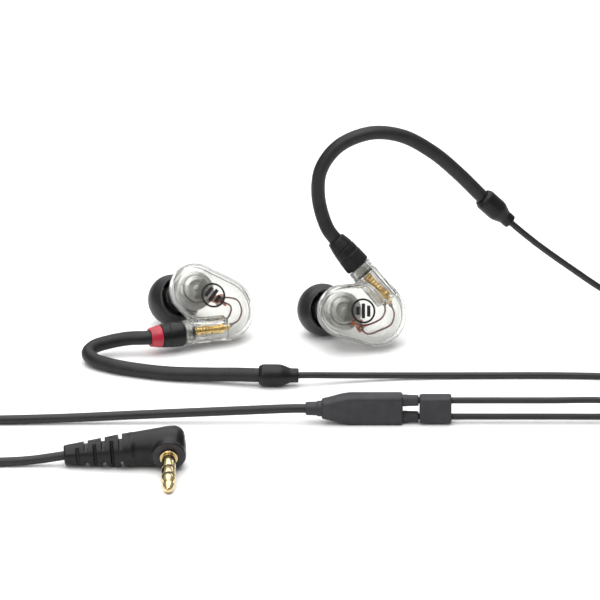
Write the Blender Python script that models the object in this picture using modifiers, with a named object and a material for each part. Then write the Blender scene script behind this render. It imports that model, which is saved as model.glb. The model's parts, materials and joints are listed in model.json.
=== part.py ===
"""Pair of in-ear stage monitors with a detachable, over-ear cable.

The set lies on a table as it would be laid out for a look at it: the right earpiece (red ring) on
its socket and ear tip, the left one (black ring) standing under its ear hook, the cable's Y-splitter
on its narrow edge, and the angled stereo plug in front.  The origin is the middle of the splitter's
lower edge, on the table.  +X runs along the splitter towards the earpiece cables, +Y away from the
plug, +Z up.

Every earpiece is built in its own axes, with the origin in the mouth of its cable socket:
    x  out of the socket, along the connector
    y  across the face, towards the driver lobe (mirrored between the two ears by `hand`)
    z  out through the clear face
"""
import math

import bmesh
import bpy
from mathutils import Matrix, Vector

MM = 0.001

# --- Clearances --------------------------------------------------------------------------------
JOIN_GAP = 0.3 * MM      # face to face, where a soft or moulded piece meets the next one
FIT_GAP = 0.15 * MM      # radial, between small nested pieces
PITCH_GAP = 0.2 * MM     # between the two halves of a clear casing

# --- Earpiece casing -----------------------------------------------------------------------------
BIG_LOBE = (-5.5 * MM, 10.5 * MM)     # over the driver
BIG_RADIUS = 6.55 * MM
SMALL_LOBE = (-11.5 * MM, 4.7 * MM)   # over the end of the socket
SMALL_RADIUS = 8.05 * MM
SEAM_Z = -0.6 * MM
FACE_HEIGHT = 4.2 * MM                # seam to face
FACE_ROUNDING = 3.6 * MM
BACK_DEPTH = 6.8 * MM                 # seam to the back of the casing
BACK_ROUNDING = 6.0 * MM
WALL = 0.9 * MM
ARC_STEPS = 9

# --- Cable socket and connector ------------------------------------------------------------------
SOCKET_RADIUS = 3.2 * MM
SOCKET_LENGTH = 10.8 * MM
MOUTH_BORE = 2.4 * MM
MOUTH_DEPTH = 3.0 * MM
INNER_BORE = 1.85 * MM
SLEEVE_RADIUS = 3.25 * MM
SLEEVE_LENGTH = 5.7 * MM
RING_LENGTH = 2.8 * MM
PIN_LENGTH = 8.6 * MM                 # how far the centre pin reaches into the earpiece

# --- Nozzle and ear tip --------------------------------------------------------------------------
NOZZLE_CANT = math.radians(9.5)       # leans towards the connector
NOZZLE_RADIUS = 2.45 * MM
NOZZLE_BORE = 1.75 * MM
NOZZLE_START = 4.0 * MM
NOZZLE_END = 14.2 * MM
TIP_RIM = 9.0 * MM                    # distances along the nozzle, from the middle of the casing
TIP_WIDEST = 12.3 * MM
TIP_REACH = 5.7 * MM                  # half length of the tip's round form
TIP_RADIUS = 6.5 * MM
TIP_STEM_BORE = 2.75 * MM

# --- Driver --------------------------------------------------------------------------------------
DRIVER_RADIUS = 4.9 * MM
DRIVER_BACK = -3.2 * MM
DRIVER_FRONT = 0.9 * MM

# --- Where the two earpieces lie ------------------------------------------------------------------
# socket mouth, turn about the vertical, lean backwards, angle of the socket in the face's plane
RIGHT_MOUTH = (-44.25 * MM, 46.5 * MM, 4.45 * MM)
RIGHT_YAW, RIGHT_LEAN, RIGHT_SOCKET = math.radians(22.0), math.radians(33.0), math.radians(179.0)
LEFT_MOUTH = (-0.7 * MM, 53.1 * MM, 19.6 * MM)
LEFT_YAW, LEFT_LEAN, LEFT_SOCKET = math.radians(21.0), math.radians(27.0), math.radians(123.0)

# --- Cable ----------------------------------------------------------------------------------------
HOOK_D = 3.5 * MM
BRANCH_D = 1.6 * MM
MAIN_D = 2.25 * MM
BOOT_LENGTH = 9.8 * MM
CORD_SPACING = 2.6       # points along a cord, in diameters

# Hand-placed routes, in millimetres: the ear hooks first, then the cables from them.
RIGHT_HOOK_ROUTE = [(-57.8, 43.6, 4.2), (-62.6, 42.8, 3.6), (-66.3, 40.9, 3.1), (-67.7, 38.1, 2.5),
                    (-66.4, 35.2, 2.1), (-62.4, 32.2, 1.9), (-57.6, 30.0, 1.8), (-48.2, 27.1, 1.8),
                    (-38.0, 25.6, 2.1), (-31.0, 24.3, 2.6)]
RIGHT_BOOT_START = (-25.4, 23.5, 2.78)
RIGHT_BOOT_AIM = (-15.6, 23.3, 2.78)
LEFT_HOOK_ROUTE = [(-8.6, 54.4, 29.6), (-10.7, 55.0, 37.6), (-10.0, 55.8, 44.6), (-5.6, 57.2, 50.2),
                   (2.2, 59.2, 52.8), (10.0, 61.3, 51.2), (17.6, 63.6, 46.0), (24.0, 65.9, 39.4)]
LEFT_BOOT_START = (30.1, 67.8, 32.2)
LEFT_BOOT_AIM = (37.3, 68.3, 25.1)

RIGHT_LEAD_ROUTE = [(-6.0, 25.2, 2.0), (10.0, 27.3, 1.1), (30.0, 28.0, 0.83), (50.0, 28.0, 0.83),
                    (62.0, 27.2, 0.83), (72.0, 24.2, 0.83)]
LEFT_LEAD_ROUTE = [(44.0, 69.6, 18.7), (52.5, 71.6, 11.4), (59.8, 74.4, 5.0), (64.2, 77.0, 1.4)]
BRANCH_HEIGHTS = (1.6 * MM, 5.9 * MM)   # lower and upper cable at the splitter
LEFT_RETURN_ROUTE = [(87.0, 68.0, 0.86), (89.2, 60.0, 0.86), (92.5, 46.0, 0.86), (94.5, 30.0, 0.86),
                     (94.0, 14.0, 0.86), (90.0, 2.0, 0.9), (82.0, -3.4, 1.2), (73.0, -2.6, 2.9),
                     (65.5, -0.6, 5.3), (59.8, 0.0, 5.9), (34.0, 0.0, 5.9)]
RIGHT_RETURN_ROUTE = [(72.5, 4.6, 0.83), (66.0, 1.2, 1.1), (60.0, 0.05, 1.55), (34.0, 0.0, 1.6)]
MAIN_LEAD_ROUTE = [(-27.8, 0.0, 3.3), (-40.0, -0.1, 2.8), (-55.0, -0.3, 2.2), (-72.0, -0.6, 1.5),
                   (-90.0, -1.0, 1.15), (-98.0, -1.6, 1.15)]
PLUG_LEAD_ROUTE = [(-103.0, -28.2, 1.15), (-96.0, -27.7, 1.15), (-88.0, -27.4, 1.15),
                   (-80.0, -27.1, 1.6)]

# --- Coils of the cable's spare length ----------------------------------------------------------
# middle, mean radius, half width and height of the wound bundle, in millimetres
RIGHT_COIL = ((79.5, 14.5), 9.2, 1.75, 3.4)
LEFT_COIL = ((75.5, 71.5), 9.2, 1.75, 3.4)
MAIN_COIL = ((-115.5, -12.0), 14.0, 4.9, 7.0)

# --- Splitter and slider --------------------------------------------------------------------------
SPLITTER_LENGTH = 20.0 * MM
SPLITTER_HEIGHT = 7.5 * MM
SPLITTER_THICKNESS = 4.6 * MM
STUB_LENGTH = 3.9 * MM
SLIDER_LENGTH = 7.9 * MM
SLIDER_HEIGHT = 6.7 * MM
SLIDER_THICKNESS = 4.2 * MM

# --- Angled stereo plug ----------------------------------------------------------------------------
PLUG_Y = -27.0 * MM
PLUG_TAIL_X, PLUG_TAIL_Z = -72.8 * MM, 2.75 * MM
PLUG_WAIST_X, PLUG_WAIST_Z = -58.0 * MM, 4.15 * MM
PLUG_HEAD_X, PLUG_HEAD_Z = -47.25 * MM, 5.15 * MM
PLUG_TAIL_RADIUS, PLUG_WAIST_RADIUS, PLUG_HEAD_RADIUS = 2.45 * MM, 4.1 * MM, 4.95 * MM
PLUG_SLIMNESS = 0.86                  # the elbow is deeper than it is thick
PLUG_LEAN = math.radians(12.5)        # the pin points down to the table
PLUG_FACE = 4.4 * MM                  # body axis to the round face
PLUG_FACE_RADIUS = 4.15 * MM


# === Scene set-up and materials ===================================================================
def clear_scene():
    for thing in list(bpy.data.objects):
        bpy.data.objects.remove(thing, do_unlink=True)
    for group in list(bpy.data.collections):
        bpy.data.collections.remove(group)


def new_collection(name):
    group = bpy.data.collections.new(name)
    bpy.context.scene.collection.children.link(group)
    return group


def new_material(name, colour, roughness, metallic=0.0, alpha=1.0):
    material = bpy.data.materials.new(name)
    material.use_nodes = True
    shader = material.node_tree.nodes["Principled BSDF"]
    shader.inputs["Base Color"].default_value = (*colour, 1.0)
    shader.inputs["Roughness"].default_value = roughness
    shader.inputs["Metallic"].default_value = metallic
    shader.inputs["Alpha"].default_value = alpha
    material.diffuse_color = (*colour, alpha)
    return material


clear_scene()
PARTS = new_collection("in_ear_monitors")
CUTTERS = new_collection("cutters")

CLEAR = new_material("clear_polycarbonate", (0.86, 0.88, 0.88), 0.08, alpha=0.35)
SILICONE = new_material("black_silicone", (0.018, 0.018, 0.02), 0.42)
HOOK_SKIN = new_material("hook_sheath", (0.035, 0.035, 0.037), 0.55)
MOULDED = new_material("moulded_black", (0.045, 0.045, 0.048), 0.5)
CORD_SKIN = new_material("cable_sheath", (0.05, 0.05, 0.053), 0.5)
RED = new_material("red_marker", (0.46, 0.02, 0.035), 0.4)
GOLD = new_material("pale_gold", (0.83, 0.68, 0.38), 0.24, metallic=1.0)
STEEL = new_material("driver_steel", (0.45, 0.46, 0.47), 0.35, metallic=1.0)
FILM = new_material("driver_film", (0.62, 0.6, 0.52), 0.3)
BOARD = new_material("orange_board", (0.75, 0.16, 0.05), 0.45)
COPPER = new_material("enamelled_wire", (0.32, 0.08, 0.08), 0.4, metallic=0.6)
INSULATOR = new_material("white_insulator", (0.75, 0.74, 0.7), 0.5)
DARK_RING = new_material("black_insulator", (0.02, 0.02, 0.02), 0.45)


# === Building tools ===============================================================================
def add_object(name, data, material=None, parent=None, matrix=None, cutter=False):
    """Put a mesh or curve in its collection; `matrix` is local to `parent`."""
    thing = bpy.data.objects.new(name, data)
    (CUTTERS if cutter else PARTS).objects.link(thing)
    if material is not None:
        data.materials.append(material)
    if cutter:
        thing.hide_render = True
        thing.display_type = "WIRE"
    thing.parent = parent
    thing.matrix_local = matrix if matrix is not None else Matrix.Identity(4)
    return thing


def add_empty(name, matrix, parent=None):
    marker = bpy.data.objects.new(name, None)
    PARTS.objects.link(marker)
    marker.empty_display_size = 5 * MM
    marker.parent = parent
    marker.matrix_local = matrix
    return marker


def along_x(x=0.0):
    """Matrix that lays a shape turned about Z along +X, starting at x."""
    return Matrix.Translation((x, 0, 0)) @ Matrix.Rotation(math.radians(90), 4, "Y")


def aim(start, end):
    """Matrix at `start` whose Z axis points at `end`."""
    direction = Vector(end) - Vector(start)
    turn = direction.to_track_quat("Z", "Y").to_matrix().to_4x4()
    return Matrix.Translation(start) @ turn


def mesh_from(form, name):
    """Turn a bmesh into a mesh whose faces point outwards."""
    bmesh.ops.recalc_face_normals(form, faces=form.faces)
    mesh = bpy.data.meshes.new(name)
    form.to_mesh(mesh)
    form.free()
    mesh.shade_smooth()
    mesh.set_sharp_from_angle(angle=math.radians(35))
    return mesh


def turned(name, profile, material=None, parent=None, matrix=None, steps=24, cutter=False,
           ring=False):
    """Spin (radius, height) points about Z, listed down the outer side; `ring` closes the loop."""
    form = bmesh.new()
    corners = [form.verts.new((radius, 0, height)) for radius, height in profile]
    pairs = list(zip(corners, corners[1:]))
    if ring:
        pairs.append((corners[-1], corners[0]))
    for first, second in pairs:
        form.edges.new((first, second))
    mesh = bpy.data.meshes.new(name)
    form.to_mesh(mesh)
    form.free()
    thing = add_object(name, mesh, material, parent, matrix, cutter)
    spin = thing.modifiers.new("spin", "SCREW")
    spin.steps = steps
    spin.render_steps = steps
    spin.use_merge_vertices = True
    spin.merge_threshold = 0.00001
    spin.use_smooth_shade = True
    return thing


def tube_profile(outer, inner, low, high):
    """Closed profile of a plain tube between two heights."""
    return [(outer, high), (outer, low), (inner, low), (inner, high)]


def rod_profile(radius, low, high):
    return [(0, high), (radius, high), (radius, low), (0, low)]


def box(name, size, centre, material=None, parent=None, cutter=False, bevel=0.0):
    form = bmesh.new()
    bmesh.ops.create_cube(form, size=1.0)
    bmesh.ops.scale(form, vec=size, verts=form.verts)
    thing = add_object(name, mesh_from(form, name), material, parent,
                       Matrix.Translation(centre), cutter)
    if bevel:
        rounding = thing.modifiers.new("rounding", "BEVEL")
        rounding.width = bevel
        rounding.segments = 2
    return thing


def cut(thing, tool, operation="DIFFERENCE", solver="EXACT"):
    """Boolean; MANIFOLD is for the thin curved walls on which EXACT leaves open edges."""
    change = thing.modifiers.new(operation.lower(), "BOOLEAN")
    change.operation = operation
    change.object = tool
    change.solver = solver


def smooth_route(points, spacing):
    """Points at an even spacing on a centripetal Catmull-Rom curve through `points`."""
    knots = [Vector(point) for point in points]
    knots.insert(0, knots[0] * 2 - knots[1])
    knots.append(knots[-1] * 2 - knots[-2])
    dense = []
    for p0, p1, p2, p3 in zip(knots, knots[1:], knots[2:], knots[3:]):
        t1 = math.sqrt((p1 - p0).length)
        t2 = t1 + math.sqrt((p2 - p1).length)
        t3 = t2 + math.sqrt((p3 - p2).length)
        for step in range(24):
            t = t1 + (t2 - t1) * step / 24
            a1 = p0.lerp(p1, t / t1)
            a2 = p1.lerp(p2, (t - t1) / (t2 - t1))
            a3 = p2.lerp(p3, (t - t2) / (t3 - t2))
            b1 = a1.lerp(a2, t / t2)
            b2 = a2.lerp(a3, (t - t1) / (t3 - t1))
            dense.append(b1.lerp(b2, (t - t1) / (t2 - t1)))
    dense.append(knots[-2])
    lengths = [0.0]
    for first, second in zip(dense, dense[1:]):
        lengths.append(lengths[-1] + (second - first).length)
    count = max(2, round(lengths[-1] / spacing))
    result, index = [], 0
    for step in range(count + 1):
        target = lengths[-1] * step / count
        while index < len(lengths) - 2 and lengths[index + 1] < target:
            index += 1
        span = lengths[index + 1] - lengths[index]
        share = (target - lengths[index]) / span if span else 0.0
        result.append(dense[index].lerp(dense[index + 1], min(1.0, share)))
    return result


def tube(name, route, diameter, material, spacing, resolution=2, parent=None):
    """Round tube with closed ends along a smooth route."""
    curve = bpy.data.curves.new(name, "CURVE")
    curve.dimensions = "3D"
    curve.bevel_depth = diameter / 2
    curve.bevel_resolution = resolution
    curve.use_fill_caps = True
    spots = smooth_route(route, spacing)
    spline = curve.splines.new("POLY")
    spline.points.add(len(spots) - 1)
    for knot, spot in zip(spline.points, spots):
        knot.co = (*spot, 1.0)
    return add_object(name, curve, material, parent)


def millimetres(points):
    return [Vector(point) * MM for point in points]


# === Earpiece casing ===============================================================================
def lobe_outline(inset, hand):
    """Outline of the two lobes and the straight sides between them, moved inwards by `inset`."""
    across = Vector(SMALL_LOBE) - Vector(BIG_LOBE)
    heading = math.atan2(across.y, across.x)
    lean = math.acos((BIG_RADIUS - SMALL_RADIUS) / across.length)
    points = []
    arcs = ((BIG_LOBE, BIG_RADIUS, heading + lean - math.tau, heading - lean),
            (SMALL_LOBE, SMALL_RADIUS, heading - lean, heading + lean))
    for centre, radius, first, last in arcs:
        for step in range(ARC_STEPS + 1):
            angle = first + (last - first) * step / ARC_STEPS
            reach = radius - inset
            points.append((centre[0] + reach * math.cos(angle),
                           hand * (centre[1] + reach * math.sin(angle))))
    return points


def lobe_levels(wall):
    """(height, inset) from the back of the casing to its face, for a skin `wall` inside it."""
    levels = []
    quarter = [math.radians(90) * step / 4 for step in range(5)]
    for angle in reversed(quarter[1:]):
        depth = (BACK_DEPTH - wall) * math.sin(angle)
        levels.append((SEAM_Z - depth, wall + (BACK_ROUNDING - wall) * (1 - math.cos(angle))))
    for angle in quarter:
        height = (FACE_HEIGHT - wall) * math.sin(angle)
        levels.append((SEAM_Z + height, wall + (FACE_ROUNDING - wall) * (1 - math.cos(angle))))
    return levels


def lobe_solid(name, wall, hand, parent, cutter, material=None):
    """Loft the outline through its levels and close it with a flat face at each end."""
    form = bmesh.new()
    loops = []
    for height, inset in lobe_levels(wall):
        ring = [form.verts.new((x, y, height)) for x, y in lobe_outline(inset, hand)]
        loops.append([form.edges.new(pair) for pair in zip(ring, ring[1:] + ring[:1])])
    for low, high in zip(loops, loops[1:]):
        bmesh.ops.bridge_loops(form, edges=low + high)
    for end in (loops[0], loops[-1]):
        bmesh.ops.edgeloop_fill(form, edges=end)
    return add_object(name, mesh_from(form, name), material, parent, None, cutter)


def nozzle_matrix(hand):
    """Frame of the nozzle: Z runs out of the casing's back, through the driver's middle."""
    place = Matrix.Translation((BIG_LOBE[0], hand * BIG_LOBE[1], 0))
    return place @ Matrix.Rotation(math.pi - NOZZLE_CANT, 4, "Y")


def build_casing(side, hand, base):
    """Clear outer cover and inner shell; the shells share the socket barrel, split at the seam."""
    hollow = lobe_solid(f"{side}_cut_hollow", WALL, hand, base, True)
    barrel = turned(f"{side}_cut_barrel", rod_profile(SOCKET_RADIUS, -SOCKET_LENGTH, 0),
                    None, base, along_x(), cutter=True)
    bores = turned(f"{side}_cut_bores",
                   [(0, 1 * MM), (MOUTH_BORE, 1 * MM), (MOUTH_BORE, -MOUTH_DEPTH),
                    (INNER_BORE, -MOUTH_DEPTH), (INNER_BORE, -SOCKET_LENGTH - 1 * MM),
                    (0, -SOCKET_LENGTH - 1 * MM)], None, base, along_x(), cutter=True)
    nozzle = turned(f"{side}_cut_nozzle",
                    [(0, NOZZLE_END), (NOZZLE_RADIUS + FIT_GAP, NOZZLE_END),
                     (NOZZLE_RADIUS + FIT_GAP, NOZZLE_END - 0.7 * MM),
                     (NOZZLE_RADIUS, NOZZLE_END - 1.0 * MM), (NOZZLE_RADIUS, NOZZLE_START),
                     (0, NOZZLE_START)], None, base, nozzle_matrix(hand), cutter=True)
    nozzle_bore = turned(f"{side}_cut_nozzle_bore",
                         rod_profile(NOZZLE_BORE, NOZZLE_START - 1 * MM, NOZZLE_END + 1 * MM),
                         None, base, nozzle_matrix(hand), cutter=True)
    spread = 60 * MM
    behind = box(f"{side}_cut_behind", (spread, spread, spread),
                 (0, 0, SEAM_Z + PITCH_GAP / 2 - spread / 2), parent=base, cutter=True)
    before = box(f"{side}_cut_before", (spread, spread, spread),
                 (0, 0, SEAM_Z - PITCH_GAP / 2 + spread / 2), parent=base, cutter=True)

    steps = {
        "outer_cover": ((hollow, "DIFFERENCE"), (barrel, "UNION"), (bores, "DIFFERENCE"),
                        (behind, "DIFFERENCE")),
        "inner_shell": ((nozzle, "UNION"), (hollow, "DIFFERENCE"), (barrel, "UNION"),
                        (bores, "DIFFERENCE"), (nozzle_bore, "DIFFERENCE"),
                        (before, "DIFFERENCE")),
    }
    for name, changes in steps.items():
        half = lobe_solid(f"{side}_{name}", 0.0, hand, base, False, CLEAR)
        for tool, operation in changes:
            cut(half, tool, operation, "MANIFOLD")


# === Inside the earpiece ============================================================================
def build_driver(side, hand, base):
    place = Matrix.Translation((BIG_LOBE[0], hand * BIG_LOBE[1], 0))
    rim_inner = DRIVER_RADIUS - 0.6 * MM
    plate_low, plate_high = DRIVER_BACK + 2.0 * MM, DRIVER_BACK + 2.6 * MM
    magnet_radius = 3.3 * MM
    turned(f"{side}_driver_frame",
           [(DRIVER_RADIUS, plate_high), (DRIVER_RADIUS, DRIVER_BACK), (rim_inner, DRIVER_BACK),
            (rim_inner, plate_low), (magnet_radius + FIT_GAP, plate_low),
            (magnet_radius + FIT_GAP, plate_high)],
           STEEL, base, place, steps=24, ring=True)
    turned(f"{side}_driver_magnet",
           rod_profile(magnet_radius, DRIVER_BACK + 1.2 * MM, DRIVER_FRONT),
           STEEL, base, place, steps=20)
    film_radius = rim_inner - FIT_GAP
    turned(f"{side}_driver_diaphragm",
           [(0, DRIVER_BACK + 0.8 * MM), (film_radius * 0.5, DRIVER_BACK + 0.6 * MM),
            (film_radius, DRIVER_BACK + 0.5 * MM), (film_radius, DRIVER_BACK + 0.2 * MM),
            (film_radius * 0.5, DRIVER_BACK + 0.3 * MM), (0, DRIVER_BACK + 0.5 * MM)],
           FILM, base, place, steps=20)
    box(f"{side}_terminal_board", (3.2 * MM, 2.2 * MM, 0.4 * MM),
        (-11.0 * MM, hand * 8.9 * MM, 0.3 * MM), BOARD, base)
    turned(f"{side}_nozzle_screen",
           rod_profile(NOZZLE_BORE - FIT_GAP, NOZZLE_END - 0.8 * MM, NOZZLE_END - 0.3 * MM),
           STEEL, base, nozzle_matrix(hand), steps=16)


def build_socket_contacts(side, base):
    turned(f"{side}_socket_ground_contact",
           [(1.5 * MM, -MOUTH_DEPTH - FIT_GAP), (1.5 * MM, -9.2 * MM), (1.7 * MM, -9.2 * MM),
            (1.7 * MM, -10.3 * MM), (1.25 * MM, -10.3 * MM), (1.25 * MM, -MOUTH_DEPTH - FIT_GAP)],
           GOLD, base, along_x(), steps=14, ring=True)
    turned(f"{side}_socket_signal_contact",
           [(0.75 * MM, -8.0 * MM), (0.75 * MM, -12.0 * MM), (0.42 * MM, -12.0 * MM),
            (0.42 * MM, -8.0 * MM)],
           GOLD, base, along_x(), steps=12, ring=True)


def build_wires(side, hand, base):
    routes = {
        "signal_wire": [(-12.4, 0.3, 0.2), (-14.6, 1.2, 0.4), (-16.0, 3.6, 0.6), (-15.2, 6.6, 0.6),
                        (-13.1, 8.9, 0.4)],
        "ground_wire": [(-11.2, 1.5, 0.3), (-12.6, 2.8, 0.8), (-13.2, 4.8, 1.0), (-12.4, 6.6, 0.7),
                        (-11.6, 7.45, 0.4)],
    }
    for name, route in routes.items():
        points = [Vector((x, hand * y, z)) * MM for x, y, z in route]
        tube(f"{side}_{name}", points, 0.36 * MM, COPPER, 1.0 * MM, 2, base)


def build_ear_tip(side, hand, base):
    """Mushroom tip: a stem on the nozzle and a thin dome that folds back to an open rim."""
    skin = 0.7 * MM
    stem = TIP_STEM_BORE + 0.8 * MM
    rim_angle = -math.asin((TIP_WIDEST - TIP_RIM) / TIP_REACH)

    def round_form(inset, first, last, count):
        points = []
        for step in range(count + 1):
            angle = first + (last - first) * step / count
            points.append(((TIP_RADIUS - inset) * math.cos(angle),
                           TIP_WIDEST + (TIP_REACH - inset) * math.sin(angle)))
        return points

    front = math.acos((TIP_STEM_BORE + 0.3 * MM) / TIP_RADIUS)
    under = math.acos(stem / (TIP_RADIUS - skin))
    profile = [(TIP_STEM_BORE, TIP_WIDEST + TIP_REACH * math.sin(front))]
    profile += round_form(0, front, rim_angle, 8)
    profile += round_form(skin, rim_angle, under, 7)
    profile += [(stem, TIP_RIM), (TIP_STEM_BORE, TIP_RIM)]
    turned(f"{side}_ear_tip", profile, SILICONE, base, nozzle_matrix(hand), steps=22, ring=True)


def build_earpiece(side, hand, base):
    build_casing(side, hand, base)
    build_driver(side, hand, base)
    build_socket_contacts(side, base)
    build_wires(side, hand, base)
    build_ear_tip(side, hand, base)


# === Connector, ear hook and boot, on the cable's end ===============================================
def build_connector(side, marker, base):
    """Overmoulded sleeve with its coaxial plug; everything is turned about the connector's axis."""
    sleeve_end = JOIN_GAP + SLEEVE_LENGTH
    turned(f"{side}_connector_sleeve",
           [(0, sleeve_end), (2.85 * MM, sleeve_end), (3.05 * MM, sleeve_end - 0.2 * MM),
            (3.2 * MM, sleeve_end - 2.4 * MM), (SLEEVE_RADIUS, JOIN_GAP + 0.2 * MM),
            (SLEEVE_RADIUS - 0.2 * MM, JOIN_GAP), (2.2 * MM, JOIN_GAP), (2.2 * MM, -0.7 * MM),
            (1.9 * MM, -0.9 * MM), (1.9 * MM, -1.3 * MM), (2.2 * MM, -1.5 * MM),
            (2.2 * MM, -2.5 * MM), (0, -2.5 * MM)],
           MOULDED, base, along_x(), steps=20)
    bore = HOOK_D / 2 + FIT_GAP
    ring_start = sleeve_end + FIT_GAP
    ring_end = ring_start + RING_LENGTH
    turned(f"{side}_connector_ring",
           [(2.3 * MM, ring_end), (2.45 * MM, ring_end - 0.25 * MM), (2.95 * MM, ring_start + 0.3 * MM),
            (2.9 * MM, ring_start), (bore, ring_start), (bore, ring_end)],
           marker, base, along_x(), steps=20, ring=True)
    front = -2.5 * MM - FIT_GAP
    turned(f"{side}_plug_barrel",
           [(1.05 * MM, front), (1.05 * MM, -4.6 * MM), (0.8 * MM, -4.6 * MM), (0.8 * MM, -5.4 * MM),
            (1.05 * MM, -5.4 * MM), (0.95 * MM, -7.6 * MM), (0.6 * MM, -7.6 * MM), (0.6 * MM, front)],
           GOLD, base, along_x(), steps=14, ring=True)
    turned(f"{side}_plug_insulator", tube_profile(0.53 * MM, 0.34 * MM, -7.4 * MM, front),
           INSULATOR, base, along_x(), steps=12, ring=True)
    turned(f"{side}_plug_pin", rod_profile(0.27 * MM, -PIN_LENGTH, front), GOLD, base, along_x(),
           steps=12)
    snap = turned(f"{side}_snap_ring", tube_profile(1.14 * MM, 0.9 * MM, -5.2 * MM, -4.8 * MM),
                  STEEL, base, along_x(), steps=16, ring=True)
    gap = box(f"{side}_cut_snap_gap", (2 * MM, 0.35 * MM, 1.2 * MM), (-5.0 * MM, 0, 1.2 * MM),
              parent=base, cutter=True)
    cut(snap, gap)
    return ring_start


def build_hook(side, base, start_x, route, boot_start, boot_aim):
    """Ear hook from inside the ring to inside the boot, and the boot itself."""
    exit_axis = (base.matrix_world.to_3x3() @ Vector((1, 0, 0))).normalized()
    mouth = base.matrix_world.translation
    first = mouth + exit_axis * (start_x + FIT_GAP)
    straight = mouth + exit_axis * (start_x + RING_LENGTH)
    boot_start = Vector(boot_start) * MM
    boot_aim = Vector(boot_aim) * MM
    forward = (boot_aim - boot_start).normalized()
    last = boot_start + forward * 1.2 * MM
    points = [first, straight, *millimetres(route), boot_start, last]
    tube(f"{side}_ear_hook", points, HOOK_D, HOOK_SKIN, 1.9 * MM, 3)

    wide, neck = 2.72 * MM, 1.8 * MM
    seat = HOOK_D / 2 + FIT_GAP
    hole = BRANCH_D / 2 + FIT_GAP
    hole_floor = BOOT_LENGTH - 1.2 * MM
    turned(f"{side}_hook_boot",
           [(0, hole_floor), (hole, hole_floor), (hole, BOOT_LENGTH), (neck, BOOT_LENGTH),
            (neck, 7.9 * MM), (2.25 * MM, 6.7 * MM), (wide - 0.05 * MM, 5.5 * MM),
            (wide, 5.1 * MM), (wide, 1.0 * MM), (2.3 * MM, 0), (seat, 0), (seat, 1.5 * MM),
            (0, 1.5 * MM)],
           MOULDED, None, aim(boot_start, boot_aim), steps=20)
    return boot_start + forward * (hole_floor + JOIN_GAP), forward


# === Splitter, slider and plug ======================================================================
def half_height_at(share):
    """Half height of the splitter along its length: a rounded nose that opens to the full height."""
    nose = 2.2 * MM
    swell = math.sin(math.radians(90) * min(1.0, share / 0.38)) ** 1.6
    return nose + (SPLITTER_HEIGHT / 2 - nose) * swell


def build_splitter():
    """Flat moulding on its edge, with one stub for the main cable and two for the branches."""
    middle = SPLITTER_HEIGHT / 2
    curve = bpy.data.curves.new("splitter_outline", "CURVE")
    curve.dimensions = "2D"
    curve.fill_mode = "BOTH"
    curve.extrude = SPLITTER_THICKNESS / 2
    spline = curve.splines.new("POLY")
    steps = 14
    shares = [0.45 * step / steps for step in range(steps + 1)] + [1.0]
    upper = [(share, half_height_at(share)) for share in shares]
    outline = upper + [(share, -height) for share, height in reversed(upper)]
    spline.points.add(len(outline) - 1)
    for knot, (share, height) in zip(spline.points, outline):
        knot.co = ((share - 0.5) * SPLITTER_LENGTH, height, 0, 1)
    spline.use_cyclic_u = True
    shape = bpy.data.objects.new("splitter_outline", curve)
    CUTTERS.objects.link(shape)
    bpy.context.view_layer.update()
    mesh = bpy.data.meshes.new_from_object(
        shape.evaluated_get(bpy.context.evaluated_depsgraph_get()))
    bpy.data.objects.remove(shape, do_unlink=True)
    form = bmesh.new()
    form.from_mesh(mesh)
    bmesh.ops.remove_doubles(form, verts=form.verts, dist=0.00001)
    bpy.data.meshes.remove(mesh)
    upright = Matrix.Translation((0, 0, middle)) @ Matrix.Rotation(math.radians(90), 4, "X")
    body = add_object("splitter_body", mesh_from(form, "splitter_body"), MOULDED, None, upright)
    rounding = body.modifiers.new("rounding", "BEVEL")
    rounding.width = 0.7 * MM
    rounding.segments = 2
    rounding.limit_method = "ANGLE"
    rounding.angle_limit = math.radians(40)

    end = SPLITTER_LENGTH / 2
    stubs = [(-1, middle, MAIN_D, 1.9 * MM, 1.65 * MM)]
    stubs += [(1, height, BRANCH_D, 1.5 * MM, 1.35 * MM) for height in BRANCH_HEIGHTS]
    for number, (way, height, cord, root, tip) in enumerate(stubs):
        place = Matrix.Translation((way * end, 0, height)) @ Matrix.Rotation(
            math.radians(90 * way), 4, "Y")
        stub = turned(f"splitter_cut_stub_{number}",
                      [(0, STUB_LENGTH), (tip, STUB_LENGTH), (root, -1.5 * MM), (0, -1.5 * MM)],
                      None, None, place, steps=20, cutter=True)
        hole = turned(f"splitter_cut_hole_{number}",
                      rod_profile(cord / 2 + FIT_GAP, STUB_LENGTH - 1.2 * MM, STUB_LENGTH + 1 * MM),
                      None, None, place, steps=16, cutter=True)
        cut(body, stub, "UNION", "MANIFOLD")
        cut(body, hole, "DIFFERENCE", "MANIFOLD")
    return end + STUB_LENGTH


def build_slider(stub_end):
    """Chin slider: a small block with two holes that runs along the branch cables."""
    start = stub_end + FIT_GAP
    slider = box("chin_slider", (SLIDER_LENGTH, SLIDER_THICKNESS, SLIDER_HEIGHT),
                 (start + SLIDER_LENGTH / 2, 0, SPLITTER_HEIGHT / 2), MOULDED, bevel=0.45 * MM)
    for number, height in enumerate(BRANCH_HEIGHTS):
        hole = turned(f"slider_cut_hole_{number}",
                      rod_profile(BRANCH_D / 2 + 0.3 * MM, -1 * MM, SLIDER_LENGTH + 1 * MM),
                      None, None, Matrix.Translation((0, 0, height)) @ along_x(start), steps=16,
                      cutter=True)
        cut(slider, hole)


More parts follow.
